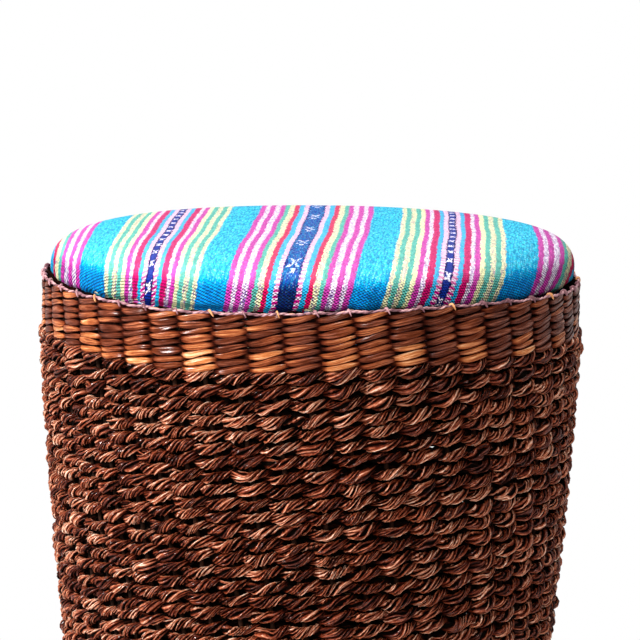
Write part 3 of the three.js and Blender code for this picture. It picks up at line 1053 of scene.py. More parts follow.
@dataclass
class RopeBody:
    """Thirty-one courses of leaf rope, two twisted plies each, twined round the stakes.

    The strip fields give a strip's three corners: how far out and to the side they lie, the painted
    highlight on its ridge and painted shade at its edges that are added to its tone, and the painted
    shade that is added to its shade.
    """

    drum: DrumShape
    courses: int = 31
    strips: int = 8
    steps_per_stake: int = 8
    crowding: float = 0.42
    strip_twist: int = 44
    full_radius: float = 3.75
    thin_radius: float = 2.0
    front_inset: float = 4.4
    depth: float = 9.0
    climb: float = 1.7
    sag: float = 2.1
    skew: float = 0.3
    strip_share: float = 0.94
    core_share: float = 0.66
    core_spread: float = 5.8
    core_sides: int = 4
    overrun: float = 1.5
    inner_height: float = 0.8
    swell_span: Span = (-0.25, 0.22)
    width_span: Span = (-0.45, 0.6)
    lift_span: Span = (-1.0, 0.75)
    tone_span: Span = (0.12, 0.7)
    strip_out: tuple[float, ...] = (0.75, -0.6, -0.6)
    strip_side: tuple[float, ...] = (0.0, 1.0, -1.0)
    # Painted highlight on each strip's ridge and painted shade at its edges, added to the tone.
    strip_painted_light: tuple[float, ...] = (0.18, -0.14, -0.14)
    # Painted shade at each strip's two edges.
    strip_painted_shade: tuple[float, ...] = (0.0, 0.6, 0.6)
    seed: int = 41
    groups: tuple[int, ...] = (4, 4, 4, 4, 4, 4, 4, 3)

    def courses_shell(self, first: int, count: int, rng: np.random.Generator) -> Shell:
        """Works out some of the courses.

        A ply's centre runs at radius crest - inset - depth (1 - f)^1.5 with f = (1 + cos phase) / 2, and its
        height follows climb sin phase + sag (1/2 - cos phase). Its steps crowd towards the outside, where
        phase = s - crowding sin s. Its strips lie round it on an ellipse, round on the outside and tall
        on the inside, and turn about it as they go. A core inside them, painted black as shade, closes the
        gaps.

        Args:
            first: the lowest course.
            count: how many courses.
            rng: the source of their irregularities.

        Returns:
            The strips and cores as one shell, with a tone and a shade.
        """
        drum = self.drum
        steps = drum.stakes * self.steps_per_stake
        pitch = (drum.body_top + self.overrun - drum.body_bottom) / self.courses
        level = (drum.body_bottom + (first + 0.5 + np.arange(count)) * pitch)[:, None, None, None]
        ply = np.arange(2)[:, None, None]
        strip = np.arange(self.strips)[:, None]
        wander = Wander(rng, (count, 2, 1, steps))
        strip_wander = Wander(rng, (count, 2, self.strips, steps))

        even = 0.5 * drum.stakes * np.arange(steps) / steps * TURN + math.pi * ply
        steady = even - self.crowding * np.sin(even)
        turn = drum.turn_at(steady - math.pi * ply, level)
        phase = steady + wander(48, 0.16)
        front = 0.5 + 0.5 * np.cos(phase)
        swell = 1.0 + np.clip(wander(48, 0.09) + wander(9, 0.06), *self.swell_span)
        fullness = (0.5 + 0.5 * np.cos(phase + self.skew)) ** 1.2
        radial = (self.thin_radius + (self.full_radius - self.thin_radius) * fullness) * swell
        tall = radial + (1.0 - front) ** 2.0 * self.inner_height
        centre = drum.crest(level) - self.front_inset - self.depth * (1.0 - front) ** 1.5 + wander(48, 0.45)
        rise = self.climb * np.sin(phase) + self.sag * (0.5 - np.cos(phase))
        rise = rise + wander(48, 0.5) + wander(11, 0.6) + drum.wave(turn, level)

        start = rng.uniform(0.0, TURN, (count, 2, 1, 1))
        angle = TURN * strip / self.strips + self.strip_twist * turn + start + wander(60, 0.7)
        angle = angle + strip_wander(70, 0.38)
        normal_r, normal_z = np.cos(angle) * tall, np.sin(angle) * radial
        length = np.hypot(normal_r, normal_z)
        normal_r, normal_z = (normal_r / length)[..., None], (normal_z / length)[..., None]
        spacing = TURN * np.sqrt((radial**2 + tall**2) / 2.0) / self.strips
        width = self.strip_share + np.clip(strip_wander(70, 0.36), *self.width_span)
        half = 0.5 * spacing * width
        lift = np.clip(strip_wander(76, 0.42) + strip_wander(170, 0.2), *self.lift_span)
        out = self.strip_out + strip_wander(60, 0.45)[..., None] * self.strip_side + lift[..., None]
        side = half[..., None] * self.strip_side
        point_r = (centre + radial * np.cos(angle))[..., None] + out * normal_r - side * normal_z
        point_z = (level + rise + tall * np.sin(angle))[..., None] + out * normal_z + side * normal_r
        base = rng.beta(1.6, 2.4, (count, 2, self.strips, 1))
        tone = base * 0.68 + 0.15 + wander(48, 0.13) + wander(7, 0.05) + strip_wander(60, 0.12)
        tone = np.clip(tone, *self.tone_span)[..., None] + self.strip_painted_light
        # Painted shade: darker where a ply goes in behind the stakes and where a strip sinks below its
        # neighbours.
        deep = 1.3 * smooth_step(1.0 - front, 0.3, 0.85) + 0.4 * np.clip(-lift, 0.0, 1.0)
        shade = np.clip(deep[..., None] + self.strip_painted_shade, 0.0, 1.0)
        points = on_circle(point_r, turn[..., None], point_z)
        strips = Shell.of_loops(points, {"tone": tone, "shade": shade})

        # Painted shade: the core has tone 0 and full shade, so it shows black through the gaps.
        core = self.core_share * radial
        core_tall = core + (1.0 - front) ** 1.2 * self.core_spread
        core_points = tube(centre, turn, level + rise, core, core_tall, self.core_sides)
        return strips.joined(Shell.of_loops(core_points, {"tone": 0.0, "shade": 1.0}))

    def build(self) -> None:
        """Makes the courses in a few pieces, from the foot up."""
        finish = LeafRope().material()
        first = 0
        for number, count in enumerate(self.groups):
            shell = self.courses_shell(first, count, np.random.default_rng(self.seed + number))
            piece = shell.piece(f"rope_courses_{number + 1}", finish)
            settle(piece, Body.STOOL, "woven_body")
            first += count


@dataclass
class ReedBand:
    """Eight courses of flat reed, two weavers each, twined round the stakes under the rim.

    Each entry of tones is the tone of a course's two weavers, from the lowest course up. The section
    is half of a reed's, as shares of its half depth and half height, from the outside up and round.
    """

    drum: DrumShape
    courses: int = 8
    steps_per_stake: int = 10
    unevenness: float = 0.9
    bottom_gap: float = 0.3
    top_gap: float = 3.2
    half_height: float = 2.66
    pinching: float = 1.4
    spreading: float = 0.9
    thin_depth: float = 0.6
    extra_depth: float = 0.7
    front_inset: float = 1.5
    depth: float = 7.4
    slope: float = 1.7
    tone_span: Span = (0.2, 0.74)
    tones: tuple[Span, ...] = (
        (0.6, 0.34), (0.6, 0.3), (0.54, 0.28), (0.34, 0.28), (0.38, 0.26), (0.28, 0.38), (0.34, 0.26),
        (0.3, 0.42),
    )
    section: tuple[Span, ...] = (
        (1.0, 0.0), (1.0, 0.44), (0.95, 0.74), (0.66, 0.94), (0.1, 1.0), (-0.8, 0.8), (-1.0, 0.0)
    )

    def build(self) -> None:
        """Makes the band.

        A weaver's centre runs between the outside and the inside of the stakes as the cosine of its
        phase. Its section is a flat strip with rounded edges, full height on the outside and pinched at
        a crossing. The bounds between courses wander, so that stitches are thicker and thinner.
        """
        drum = self.drum
        rng = np.random.default_rng(7)
        steps = drum.stakes * self.steps_per_stake
        bottom, top = drum.body_top + self.bottom_gap, drum.rim_height - self.top_gap
        turn = around(steps)
        wander = Wander(rng, (self.courses, 2, steps))
        share = np.arange(self.courses + 1)[:, None] / self.courses
        uneven = Wander(rng, (self.courses + 1, steps))(48, self.unevenness)
        bounds = bottom + share * (top - bottom) + uneven * np.sin(math.pi * share)
        level = 0.5 * (bounds[1:] + bounds[:-1])[:, None, :]
        spread = (drum.wave(turn, drum.rim_height) - drum.wave(turn, drum.body_top)) / (top - bottom)
        room = (bounds[1:] - bounds[:-1])[:, None, :] / ((top - bottom) / self.courses) + spread
        phase = drum.phase(turn, level) + math.pi * np.arange(2)[:, None] + wander(48, 0.1)
        front = 0.5 + 0.5 * np.cos(phase)
        pinch = (1.0 - np.abs(np.cos(phase))) ** 1.4
        behind = smooth_step(-np.cos(phase), -0.3, 0.4)
        half_height = (self.half_height - self.pinching * pinch + self.spreading * behind) * room
        half_depth = self.thin_depth + self.extra_depth * front
        centre = drum.rim_radius - self.front_inset - self.depth * (1.0 - front) ** 2.2
        centre = centre + wander(48, 0.22)
        slope = self.slope + np.clip(wander(48, 0.35), -0.8, 0.8)
        rise = slope * np.sin(phase) - 0.3 * np.cos(phase) + wander(48, 0.2) + drum.wave(turn, level)
        across, up = np.array([*self.section, *[(x, -y) for x, y in reversed(self.section[1:-1])]]).T
        radius = centre[..., None] + half_depth[..., None] * across + wander(48, 0.3)[..., None] * up
        height = level[..., None] + rise[..., None] + half_height[..., None] * up
        points = on_circle(radius, turn[:, None], height)
        own = np.array(self.tones)[:, :, None] + wander(48, 0.12) + wander(7, 0.06)
        # Painted light: the band's left side lighter and its right side darker.
        darker = 0.06 * np.cos(turn - 0.5 * TURN)
        # Painted highlight: each reed is lighter towards its upper edge and darker towards its lower edge.
        tone = np.clip(own + darker - 0.02, *self.tone_span)[..., None] + 0.05 * up
        # Painted shade: darker at the stitch ends, where a weaver goes behind the stakes, and at the reeds'
        # edges as dark outlines.
        ends = (1.0 - smooth_step(front, 0.42, 0.74))[..., None]
        shade = np.clip(ends + smooth_step(np.abs(up), 0.68, 0.93), 0.0, 1.0)
        shell = Shell.of_loops(points, {"tone": tone, "shade": shade})
        piece = shell.piece("reed_courses", FlatReed().material())
        settle(piece, Body.STOOL, "woven_band")


@dataclass
class RimEdge:
    """The twisted cord along the top edge, with a small tan stitch over it at each column."""

    drum: DrumShape
    twists: int = 120
    steps: int = 1152
    ply_radius: float = 0.85
    ply_sides: int = 6
    orbit: float = 0.45
    inset: float = 1.5
    drop: float = 1.8
    scallop: float = 1.0
    stitch_steps: int = 8
    stitch_sides: int = 8
    stitch_start: float = -0.014
    stitch_reach: float = 0.024
    stitch_radius: float = 1.15
    stitch_inset: float = 1.7
    stitch_drop: float = 2.3
    tan_share: float = 0.3

    def cord(self, rng: np.random.Generator) -> Shell:
        """Two plies that turn about the cord's centre line.

        Args:
            rng: the source of their irregularities.

        Returns:
            The shell, with a tone.
        """
        drum = self.drum
        turn = around(self.steps)
        angle = self.twists * turn + math.pi * np.arange(2)[:, None]
        half_phase = drum.phase(turn, drum.rim_height)
        sag = drum.wave(turn, drum.rim_height) - self.scallop * np.cos(half_phase) ** 2
        sag = sag + closed_noise(rng, 1, 48, self.steps) * 0.2
        radius = drum.rim_radius - self.inset + self.orbit * np.cos(angle)
        height = drum.rim_height - self.drop + self.orbit * np.sin(angle) + sag
        own = self.ply_radius * (1.0 + 0.08 * closed_noise(rng, 2, 160, self.steps))
        points = tube(radius, turn, height, own, own, self.ply_sides)
        streaks = 0.14 * closed_noise(rng, 2, 200, self.steps)[..., None]
        # Painted highlight: each ply's tone is lighter on its upper side and darker underneath.
        return Shell.of_loops(points, {"tone": 0.3 + streaks + 0.12 * np.sin(around(self.ply_sides))})

    def stitches(self, rng: np.random.Generator) -> Shell:
        """Short tapered strips that come over the cord from the inside, going down to the right.

        Args:
            rng: the source of their irregularities.

        Returns:
            The shell, with a tone.
        """
        drum, count = self.drum, self.drum.stakes
        share = np.linspace(0.0, 1.0, self.stitch_steps)
        first = around(count)[:, None] + drum.lean(np.array(drum.rim_height))
        start = first + self.stitch_start + rng.normal(0.0, 0.003, (count, 1))
        turn = start + (self.stitch_reach + rng.normal(0.0, 0.005, (count, 1))) * share
        over = math.pi * (0.8 - 0.9 * share)
        radius = drum.rim_radius - self.stitch_inset + self.stitch_inset * np.cos(over)
        height = drum.rim_height - self.stitch_drop + 1.5 * np.sin(over)
        height = height - 1.6 * smooth_step(share, 0.5, 1.0)
        height = height + drum.wave(turn, drum.rim_height)
        thick = self.stitch_radius * np.sin(math.pi * (0.14 + 0.74 * share)) ** 0.7
        points = tube(radius, turn, height, thick, 1.35 * thick, self.stitch_sides)
        tan = rng.random((count, 1, 1)) < self.tan_share
        return Shell.of_rods(points, {"tone": np.where(tan, 0.8, rng.uniform(0.2, 0.48, (count, 1, 1)))})

    def build(self) -> None:
        """Makes the cord and its stitches as one piece."""
        rng = np.random.default_rng(11)
        cord = self.cord(rng)
        piece = cord.joined(self.stitches(rng)).piece("rim_edge", RimFibre().material())
        settle(piece, Body.STOOL, "rim_cord")


@dataclass
class FootEdge:
    """The plaited edge that closes the weave at the foot: three thick plies of leaf rope."""

    plies: int = 3
    twists: int = 32
    steps: int = 960
    strands: int = 8
    orbit_share: float = 0.52
    strip_share: float = 0.62
    strip_depth: float = 0.45
    clearance: float = 0.3

    def build(self) -> None:
        """Strips twist round each ply, and the plies round the edge's centre line."""
        rng = np.random.default_rng(23)
        low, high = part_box("foot_border")
        half = (high.z - low.z) / 2.0 / METRES
        turn = around(self.steps)
        ply = np.arange(self.plies)[:, None, None]
        orbit = half * self.orbit_share
        own = half - orbit - self.clearance
        angle = self.twists * turn + TURN * ply / self.plies
        strip_angle = TURN * np.arange(self.strands)[:, None] / self.strands
        roll = strip_angle - 2.0 * self.twists * turn + ply
        cos, sin = np.cos(roll)[..., None], np.sin(roll)[..., None]
        side = around(4)
        out = self.strip_depth * np.cos(side) + own
        across = own * TURN / self.strands * self.strip_share * np.sin(side)
        ply_radius = (high.x / METRES - half + orbit * np.cos(angle))[..., None]
        ply_height = ((low.z + high.z) / 2.0 / METRES + orbit * np.sin(angle))[..., None]
        radius = ply_radius + out * cos - across * sin
        height = ply_height + out * sin + across * cos
        points = on_circle(radius, turn[:, None], height)
        tone = rng.beta(2.0, 3.2, (self.plies, self.strands, 1)) * 0.75 + 0.05
        tone = tone + Wander(rng, (self.plies, self.strands, self.steps))(60, 0.09)
        shell = Shell.of_loops(points, {"tone": tone[..., None], "shade": 0.0})
        piece = shell.piece("foot_edge", LeafRope("foot_rope").material())
        settle(piece, Body.STOOL, "foot_border")


@dataclass
class CaneWork:
    """The stakes, the eight posts and the waist hoop, all of peeled cane."""

    drum: DrumShape
    stake_steps: int = 24
    stake_sides: int = 8
    fold_steps: int = 576
    fold_twists: int = 24
    fold_radius: float = 1.3
    posts: int = 8
    post_steps: int = 60
    post_sides: int = 16
    post_radius: float = 8.2
    post_ridge: float = 0.7
    ridge_reach: float = 3.2
    hoop_steps: int = 288
    hoop_sides: int = 12
    hoop_ridge: float = 0.5
    half_ring_width: float = 13.0

    def stakes(self, rng: np.random.Generator) -> Shell:
        """Forty-eight thin round rods that follow the weave's inner side.

        Args:
            rng: the source of their waves.

        Returns:
            The shell, with an empty joint mark.
        """
        drum, count = self.drum, self.drum.stakes
        height = np.linspace(drum.floor_gap + 1.0, drum.band_top, self.stake_steps)
        turn = (np.arange(count)[:, None] + 0.5) / count * TURN + drum.lean(height)
        wave = 0.25 * np.sin(height / 9.0 + rng.uniform(0, TURN, (count, 1)))
        centre = (drum.stake_line(height) + wave)[..., None]
        own = drum.stake_radius * 0.92
        side = around(self.stake_sides)
        swing = turn[..., None] + own * np.sin(side) / centre
        points = on_circle(centre + own * np.cos(side), swing, height[:, None])
        return Shell.of_rods(points[:, :, ::-1], {"joint": 0.0})

    def fold(self) -> Shell:
        """The turned-under ends of the stakes: a ring of two twisted canes at the foot.

        Returns:
            The shell, with an empty joint mark.
        """
        turn = around(self.fold_steps)
        angle = self.fold_twists * turn + math.pi * np.arange(2)[:, None]
        radius = self.drum.stake_line(np.array(self.drum.floor_gap)) + 0.8 * np.cos(angle)
        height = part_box("stake_cage")[0].z / METRES + 2.5 + np.sin(angle)
        points = tube(radius, turn, height, self.fold_radius, self.fold_radius, self.stake_sides)
        return Shell.of_loops(points, {"joint": 0.0})

    def ring_middle(self, node: str) -> float:
        """The radius of the middle of one of the frame's two wooden rings."""
        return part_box(node)[1].x / METRES - self.half_ring_width

    def post(self, number: int, rng: np.random.Generator, finish: bpy.types.Material) -> None:
        """Makes one post: a leaning pole between the rings, with a raised node every hand's breadth.

        Args:
            number: the post's number in the frame, from 1.
            rng: the source of the nodes' places.
            finish: its material.
        """
        node = f"post_{number}"
        low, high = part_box(node)
        angle = (number - 0.5) / self.posts * TURN
        bottom, top = low.z / METRES, high.z / METRES
        foot, head = self.ring_middle("base_ring"), self.ring_middle("seat_ledge")
        height = np.linspace(bottom, top, self.post_steps)
        centre = foot + (head - foot) * (height - bottom) / (top - bottom)
        places = bottom + (np.arange(3) + rng.uniform(0.25, 0.75)) * (top - bottom) / 3.0
        ridge = np.exp(-(((height[:, None] - places) / self.ridge_reach) ** 2)).sum(axis=1)
        own = (self.post_radius + self.post_ridge * ridge)[:, None]
        side = around(self.post_sides)
        x, y = centre[:, None] + own * np.cos(side), own * np.sin(side)
        cos, sin = math.cos(angle), math.sin(angle)
        parts = np.broadcast_arrays(x * cos - y * sin, x * sin + y * cos, height[:, None])
        points = np.stack(parts, axis=-1)[None, :, ::-1]
        piece = Shell.of_rods(points, {"joint": ridge[:, None]}).piece(f"cane_{node}", finish)
        settle(piece, Body.STOOL, node)

    def hoop(self, rng: np.random.Generator) -> None:
        """Makes the bent cane half way up, with its nodes.

        Args:
            rng: the source of the nodes' places.
        """
        low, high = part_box("waist_hoop")
        half = (high.z - low.z) / 2.0 / METRES
        turn = around(self.hoop_steps)
        places = np.sort(rng.uniform(0.0, TURN, 7))
        ridge = np.exp(-(((turn[:, None] - places) / 0.012) ** 2)).sum(axis=1)
        own = half - self.hoop_ridge + self.hoop_ridge * ridge
        level = (high.z + low.z) / 2.0 / METRES
        points = tube(high.x / METRES - half, turn, level, own, own, self.hoop_sides)
        shell = Shell.of_loops(points, {"joint": ridge[:, None]})
        piece = shell.piece("cane_waist_hoop", PeeledCane("hoop_cane").material())
        settle(piece, Body.STOOL, "waist_hoop")

    def build(self) -> None:
        """Makes the stakes, the posts and the hoop."""
        rng = np.random.default_rng(5)
        shell = self.stakes(rng).joined(self.fold())
        # The stakes' near-black colour is painted shade for the gaps in the weave.
        piece = shell.piece("cane_stakes", PeeledCane.stained().material())
        settle(piece, Body.STOOL, "stake_cage")
        peeled = PeeledCane().material()
        for number in range(1, self.posts + 1):
            self.post(number, rng, peeled)
        self.hoop(rng)


@dataclass
class SeatCushion:
    """The drop-in seat: striped cloth drawn over a domed foam and turned under its board.

    Each entry of pull is a power of the place across, a power of the place to the back, and a size.
    """

    widest: float = 203.0
    widest_height: float = 403.0
    crown: float = 34.0
    crown_power: float = 6.0
    crown_sharpness: float = 0.33
    draw_heights: Span = (397.0, 399.0)
    side: float = 195.4
    side_top: float = 391.0
    foot: float = 192.9
    bottom: float = 352.3
    rounding: float = 6.0
    hem_width: float = 34.0
    cloth: float = 1.6
    crown_length: float = 203.0
    fuller_side: float = 3.2
    fullest_length: float = 196.0
    fullness_reach: float = 34.0
    tuck_start: Span = (203.0, 226.0)
    tuck_end: Span = (268.0, 282.0)
    pull_reach: float = 200.0
    pull: tuple[tuple[int, int, float], ...] = (
        (0, 0, 0.45), (1, 0, 204.5), (0, 1, -10.0), (2, 0, -4.3), (1, 1, 8.2),
        (0, 2, 3.0), (3, 0, 2.7), (2, 1, 4.4), (1, 2, -0.7), (0, 3, -1.1),
    )
    columns: int = 384
    rings: int = 108
    inner_rings: int = 24
    foam_columns: int = 96
    foam_rings: int = 40
    foam_gap: float = 0.5

    def outline(self, inset: float) -> Array:
        """The cushion's side view, from the middle of the crown down to the hem's edge.

        The crown is height = widest line + crown (1 - share^power)^sharpness. Below it a cubic draws
        the side in, which then runs down to a rounded foot and under it to the hem.

        Args:
            inset: how far inside the cloth's outer face the outline lies.

        Returns:
            Points as radius and height.
        """
        widest, side, foot = self.widest - inset, self.side - inset, self.foot - inset
        share = 1.0 - (1.0 - np.linspace(0.0, 1.0, 500)) ** 3
        rise = (self.crown - inset) * (1.0 - share**self.crown_power) ** self.crown_sharpness
        crown = np.stack([share * widest, self.widest_height + rise], axis=-1)
        heights = (self.widest_height, *self.draw_heights, self.side_top)
        ends = np.stack([(widest, widest, side, side), heights], axis=-1)
        part = np.linspace(0.0, 1.0, 60)[1:, None]
        weights = enumerate((1, 3, 3, 1))
        draw = sum(weight * (1 - part) ** (3 - k) * part**k * ends[k] for k, weight in weights)
        rounding = self.rounding - inset
        foot_height = self.bottom + inset + rounding
        wall = np.linspace((side, self.side_top), (foot, foot_height), 20)[1:]
        angle = np.linspace(0.0, math.pi / 2.0, 12)[1:]
        arc = rounding * np.stack([np.cos(angle), -np.sin(angle)], axis=-1)
        corner = np.array([foot - rounding, foot_height]) + arc
        hem = np.array([[self.foot - self.rounding - self.hem_width, self.bottom + inset]])
        return np.concatenate([crown, draw, wall, corner, hem])

    @staticmethod
    def spaced(outline: Array, count: int) -> tuple[Array, Array, Array]:
        """Spaces points evenly along an outline.

        Args:
            outline: points as radius and height.
            count: how many points are wanted, without the first.

        Returns:
            The points' radii, their heights and the length along the outline to each, as columns.
        """
        gaps = np.hypot(*np.diff(outline, axis=0).T)
        length = np.concatenate([[0.0], np.cumsum(gaps)])
        wanted = np.linspace(0.0, length[-1], count + 1)[1:]
        radius, height = (np.interp(wanted, length, part) for part in outline.T)
        return radius[:, None], height[:, None], wanted[:, None]

    def cloth_place(self, radius: Array, turn: Array, length: Array) -> tuple[Array, Array]:
        """Where a point lies on the flat cloth.

        Across the stripes and along them is the plan place, plus the extra length down the side: along
        the cloth at the front and back, partly across it at the left and right. The stripes bend by a
        cubic in the plan place, as the cloth was pulled.

        Args:
            radius: the point's radius.
            turn: its turn round the stool.
            length: the length from the middle of the crown down to it.

        Returns:
            The distance across the stripes from the middle of a wide navy one, and along them.
        """
        extra = length - radius
        cos, sin = np.cos(turn), np.sin(turn)
        x, y = radius * cos / self.pull_reach, radius * sin / self.pull_reach
        across = sum(size * x**across_power * y**back_power for across_power, back_power, size in self.pull)
        across = across + extra * (0.22 + 0.23 * cos)
        along = radius * sin + extra * np.sign(sin) * np.sqrt(1.0 - cos**8)
        return across + 0.4 * np.sin(along / 19.0 + 0.6), along

    def cover(self) -> None:
        """Makes the cloth: its outer face, and its inner face one thickness inside."""
        rng = np.random.default_rng(3)
        radius, height, length = self.spaced(self.outline(0.0), self.rings)
        slope_r, slope_z = np.gradient(radius, axis=0), np.gradient(height, axis=0)
        steepness = np.hypot(slope_r, slope_z)
        normal_r, normal_z = -slope_z / steepness, slope_r / steepness
        turn = around(self.columns)
        tuck = smooth_step(length, *self.tuck_start) * (1.0 - smooth_step(length, *self.tuck_end))
        pleats = closed_noise(rng, 1, 150, self.columns) * 0.5
        lumps = closed_noise(rng, 1, 11, self.columns) * 0.5
        swell = np.sin(np.clip(length / self.crown_length, 0.0, 1.0) * math.pi)
        shoulder = np.exp(-(((length - self.fullest_length) / self.fullness_reach) ** 2))
        lift = np.minimum(pleats * tuck, 0.5) + lumps * swell - 0.3 * tuck
        lift = lift + self.fuller_side * shoulder * np.clip(np.cos(turn), 0.0, 1.0) ** 1.5
        outer = on_circle(radius + lift * normal_r, turn, height + lift * normal_z)
        across, along = self.cloth_place(radius, turn, length)
        # How steep the cloth is; the cloth's material paints shade by it, darker low on the side.
        low = np.broadcast_to(smooth_step(1.0 - normal_z, 0.12, 0.9), across.shape)
        outer_marks = np.stack([across, along, low], axis=-1)
        inner_radius, inner_height, _ = self.spaced(self.outline(self.cloth), self.inner_rings)
        inner = on_circle(inner_radius, turn, inner_height)[::-1]
        inner_marks = inner * (1.0, 1.0, 0.0)
        pole = np.zeros(1)
        pole_marks = np.array([[self.cloth_place(pole, pole, pole)[0][0], 0.0, 0.0]] * 2)
        top = self.widest_height + self.crown
        shell = Shell.turned(np.concatenate([outer, inner]), top, top - self.cloth)
        marks = (outer_marks.reshape(-1, 3), inner_marks.reshape(-1, 3), pole_marks)
        shell.marks["cloth"] = np.concatenate(marks)
        piece = shell.piece("cushion_cover", StripedCloth().material())
        settle(piece, Body.PAD, "seat_cover")

    def foam(self) -> None:
        """Makes the domed foam inside the cloth, standing on the board."""
        outline = self.outline(self.cloth + self.foam_gap)
        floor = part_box("seat_board")[1].z / METRES + 0.3
        outline = outline[outline[:, 1] > floor + 0.5]
        outline = np.concatenate([outline, [[outline[-1, 0] - 1.0, floor]]])
        radius, height, _ = self.spaced(outline, self.foam_rings)
        rings = on_circle(radius, around(self.foam_columns), height)
        piece = Shell.turned(rings, outline[0, 1], floor).piece("cushion_foam", OpenFoam().material())
        settle(piece, Body.PAD, "seat_foam")

    def build(self) -> None:
        """Makes the cover and the foam."""
        self.cover()
        self.foam()


@dataclass
class FrameFinishes:
    """Materials for the CAD nodes that are shown as they are."""

    nodes: Mapping[str, bpy.types.Object]

    def dress(self, material: bpy.types.Material, *prefixes: str) -> None:
        """Gives a material to the nodes whose names start in some way.

        Args:
            material: the material.
            prefixes: how the nodes' names start.
        """
        for name, node in self.nodes.items():
            if name.startswith(prefixes):
                if not node.material_slots:
                    node.data.materials.append(None)
                for slot in node.material_slots:
                    slot.material = material
                LOG.info("%s: %s", name, material.name)

    def build(self) -> None:
        """Dresses the rings, braces, board, screws and glides."""
        self.dress(SawnTimber(Grain.ROUND).material(), "seat_ledge", "base_ring")
        self.dress(SawnTimber(Grain.ALONG_X).material(), "seat_brace_lower", "base_brace_lower")
        self.dress(SawnTimber(Grain.ALONG_Y).material(), "seat_brace_upper", "base_brace_upper")
        self.dress(Plywood().material(), "seat_board")
        screws = ("ledge_screw", "base_screw", "seat_brace_screw", "base_brace_screw")
        self.dress(ZincSteel().material(), *screws)
        self.dress(GlidePlastic().material(), "glide")


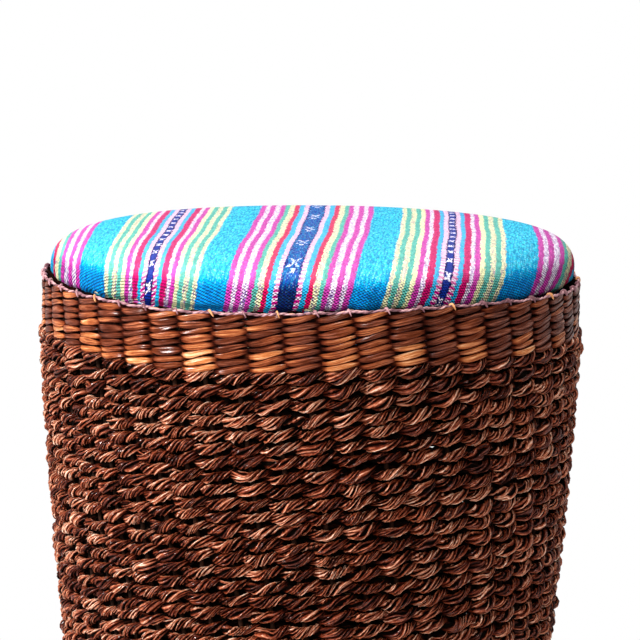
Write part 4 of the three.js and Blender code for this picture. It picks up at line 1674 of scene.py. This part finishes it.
@dataclass
class Studio:
    """The camera, the lamps, the white world and the pale floor.

    Each entry of lamps is a lamp's name, its place and its side in metres, and its power in watts: a
    strong one at the left, one above and a weaker one in front.
    """

    target: Colour = (7.4, 0.0, 362.9)
    distance: float = 4500.0
    elevation: float = 8.1
    roll: float = 0.6
    lens: float = 323.8
    sensor: float = 36.0
    floor_half: float = 30.0
    pale_reach: Span = (0.3, 0.54)
    fill: float = 0.12
    aim: Colour = (0.0, 0.0, 0.3)
    lamps: tuple[tuple[str, Colour, float, float], ...] = (
        ("key_lamp", (-2.5, -1.25, 1.05), 0.55, 132.0),
        ("top_lamp", (-0.1, -0.2, 2.9), 1.2, 68.0),
        ("front_lamp", (0.3, -2.6, 1.5), 0.45, 38.0),
    )

    def camera(self) -> None:
        """Sets the camera up at the photograph's angle, turned a little about its own axis."""
        angle, roll = math.radians(self.elevation), math.radians(self.roll)
        back = Vector((0.0, -math.cos(angle), math.sin(angle)))
        side = Vector((1.0, 0.0, 0.0))
        up = back.cross(side)
        right = side * math.cos(roll) + up * math.sin(roll)
        upright = up * math.cos(roll) - side * math.sin(roll)
        data = bpy.data.cameras.new("camera")
        data.lens = self.lens
        data.sensor_width = self.sensor
        data.clip_end = 100.0
        camera = bpy.data.objects.new("camera", data)
        bpy.context.scene.collection.objects.link(camera)
        place = Vector(self.target) * METRES + back * self.distance * METRES
        turned = Matrix((right, upright, back)).transposed().to_4x4()
        camera.matrix_world = Matrix.Translation(place) @ turned
        bpy.context.scene.camera = camera

    def light(self) -> None:
        """Adds the soft square lamps."""
        for name, place, size, power in self.lamps:
            data = bpy.data.lights.new(name, "AREA")
            data.shape = "SQUARE"
            data.size = size
            data.energy = power
            lamp = bpy.data.objects.new(name, data)
            lamp.location = place
            lamp.rotation_euler = (Vector(place) - Vector(self.aim)).to_track_quat("Z", "Y").to_euler()
            bpy.context.scene.collection.objects.link(lamp)

    def seen_directly(self, tree: bpy.types.NodeTree) -> bpy.types.NodeSocket:
        """1 for camera, glossy and transmission rays: those that show the background itself.

        Args:
            tree: the tree that the nodes go into.

        Returns:
            The socket that has the 1.
        """
        path = tree.nodes.new("ShaderNodeLightPath")
        socket = path.outputs["Is Camera Ray"]
        for name in ("Is Glossy Ray", "Is Transmission Ray"):
            largest = tree.nodes.new("ShaderNodeMath")
            largest.operation = "MAXIMUM"
            tree.links.new(socket, largest.inputs[0])
            tree.links.new(path.outputs[name], largest.inputs[1])
            socket = largest.outputs[0]
        return socket

    def world(self) -> None:
        """A world that shows white and gives a plain, even fill."""
        world = bpy.data.worlds.new("world")
        bpy.context.scene.world = world
        world.use_nodes = True
        tree = world.node_tree
        mix = tree.nodes.new("ShaderNodeMixShader")
        tree.links.new(self.seen_directly(tree), mix.inputs[0])
        backgrounds = (tree.nodes["Background"], tree.nodes.new("ShaderNodeBackground"))
        for place, (node, strength) in enumerate(zip(backgrounds, (self.fill, 1.0)), start=1):
            node.inputs["Color"].default_value = (1.0, 1.0, 1.0, 1.0)
            node.inputs["Strength"].default_value = strength
            tree.links.new(node.outputs[0], mix.inputs[place])
        tree.links.new(mix.outputs[0], tree.nodes["World Output"].inputs["Surface"])

    def floor(self) -> None:
        """A pale floor that keeps the stool's shadow and fades to the white of the background."""
        corners = np.array([[-1, -1, 0], [1, -1, 0], [1, 1, 0], [-1, 1, 0]]) * self.floor_half / METRES
        painter = Painter("pale_floor")
        x, y, _ = painter.split(painter.place())
        far = painter.crisp((x * x + y * y) ** 0.5, *self.pale_reach)
        seen = Wire(painter, self.seen_directly(painter.tree))
        speckle = painter.noise(painter.place(), 30.0, 3.0)
        colour = speckle.ramp([(0.3, (0.86, 0.86, 0.86)), (0.7, (0.9, 0.9, 0.9))])
        material = painter.finish(colour, 0.9, Specular_IOR_Level=0.1)
        glow = painter.node("ShaderNodeEmission", None, {"Color": (1.0, 1.0, 1.0), "Strength": 1.0})
        lit = Wire(painter, painter.shader.outputs[0])
        surface = painter.node("ShaderNodeMixShader", None, {0: far * seen, 1: lit, 2: glow})
        painter.feed(painter.tree.nodes["Material Output"].inputs["Surface"], surface)
        piece = Shell(corners, [np.array([[0, 1, 2, 3]])]).piece("floor", material)

    def build(self) -> None:
        """Sets up everything that isn't the stool."""
        bpy.context.scene.view_settings.view_transform = "Standard"
        self.camera()
        self.world()
        self.light()
        self.floor()


def main() -> None:
    """Builds the stool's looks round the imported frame."""
    logging.basicConfig(level=logging.INFO, format="%(name)s %(message)s")
    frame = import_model()
    Studio().build()
    drum = DrumShape.from_frame()
    RopeBody(drum).build()
    ReedBand(drum).build()
    RimEdge(drum).build()
    FootEdge().build()
    CaneWork(drum).build()
    SeatCushion().build()
    FrameFinishes(frame["nodes"]).build()


if __name__ == "__main__":
    main()
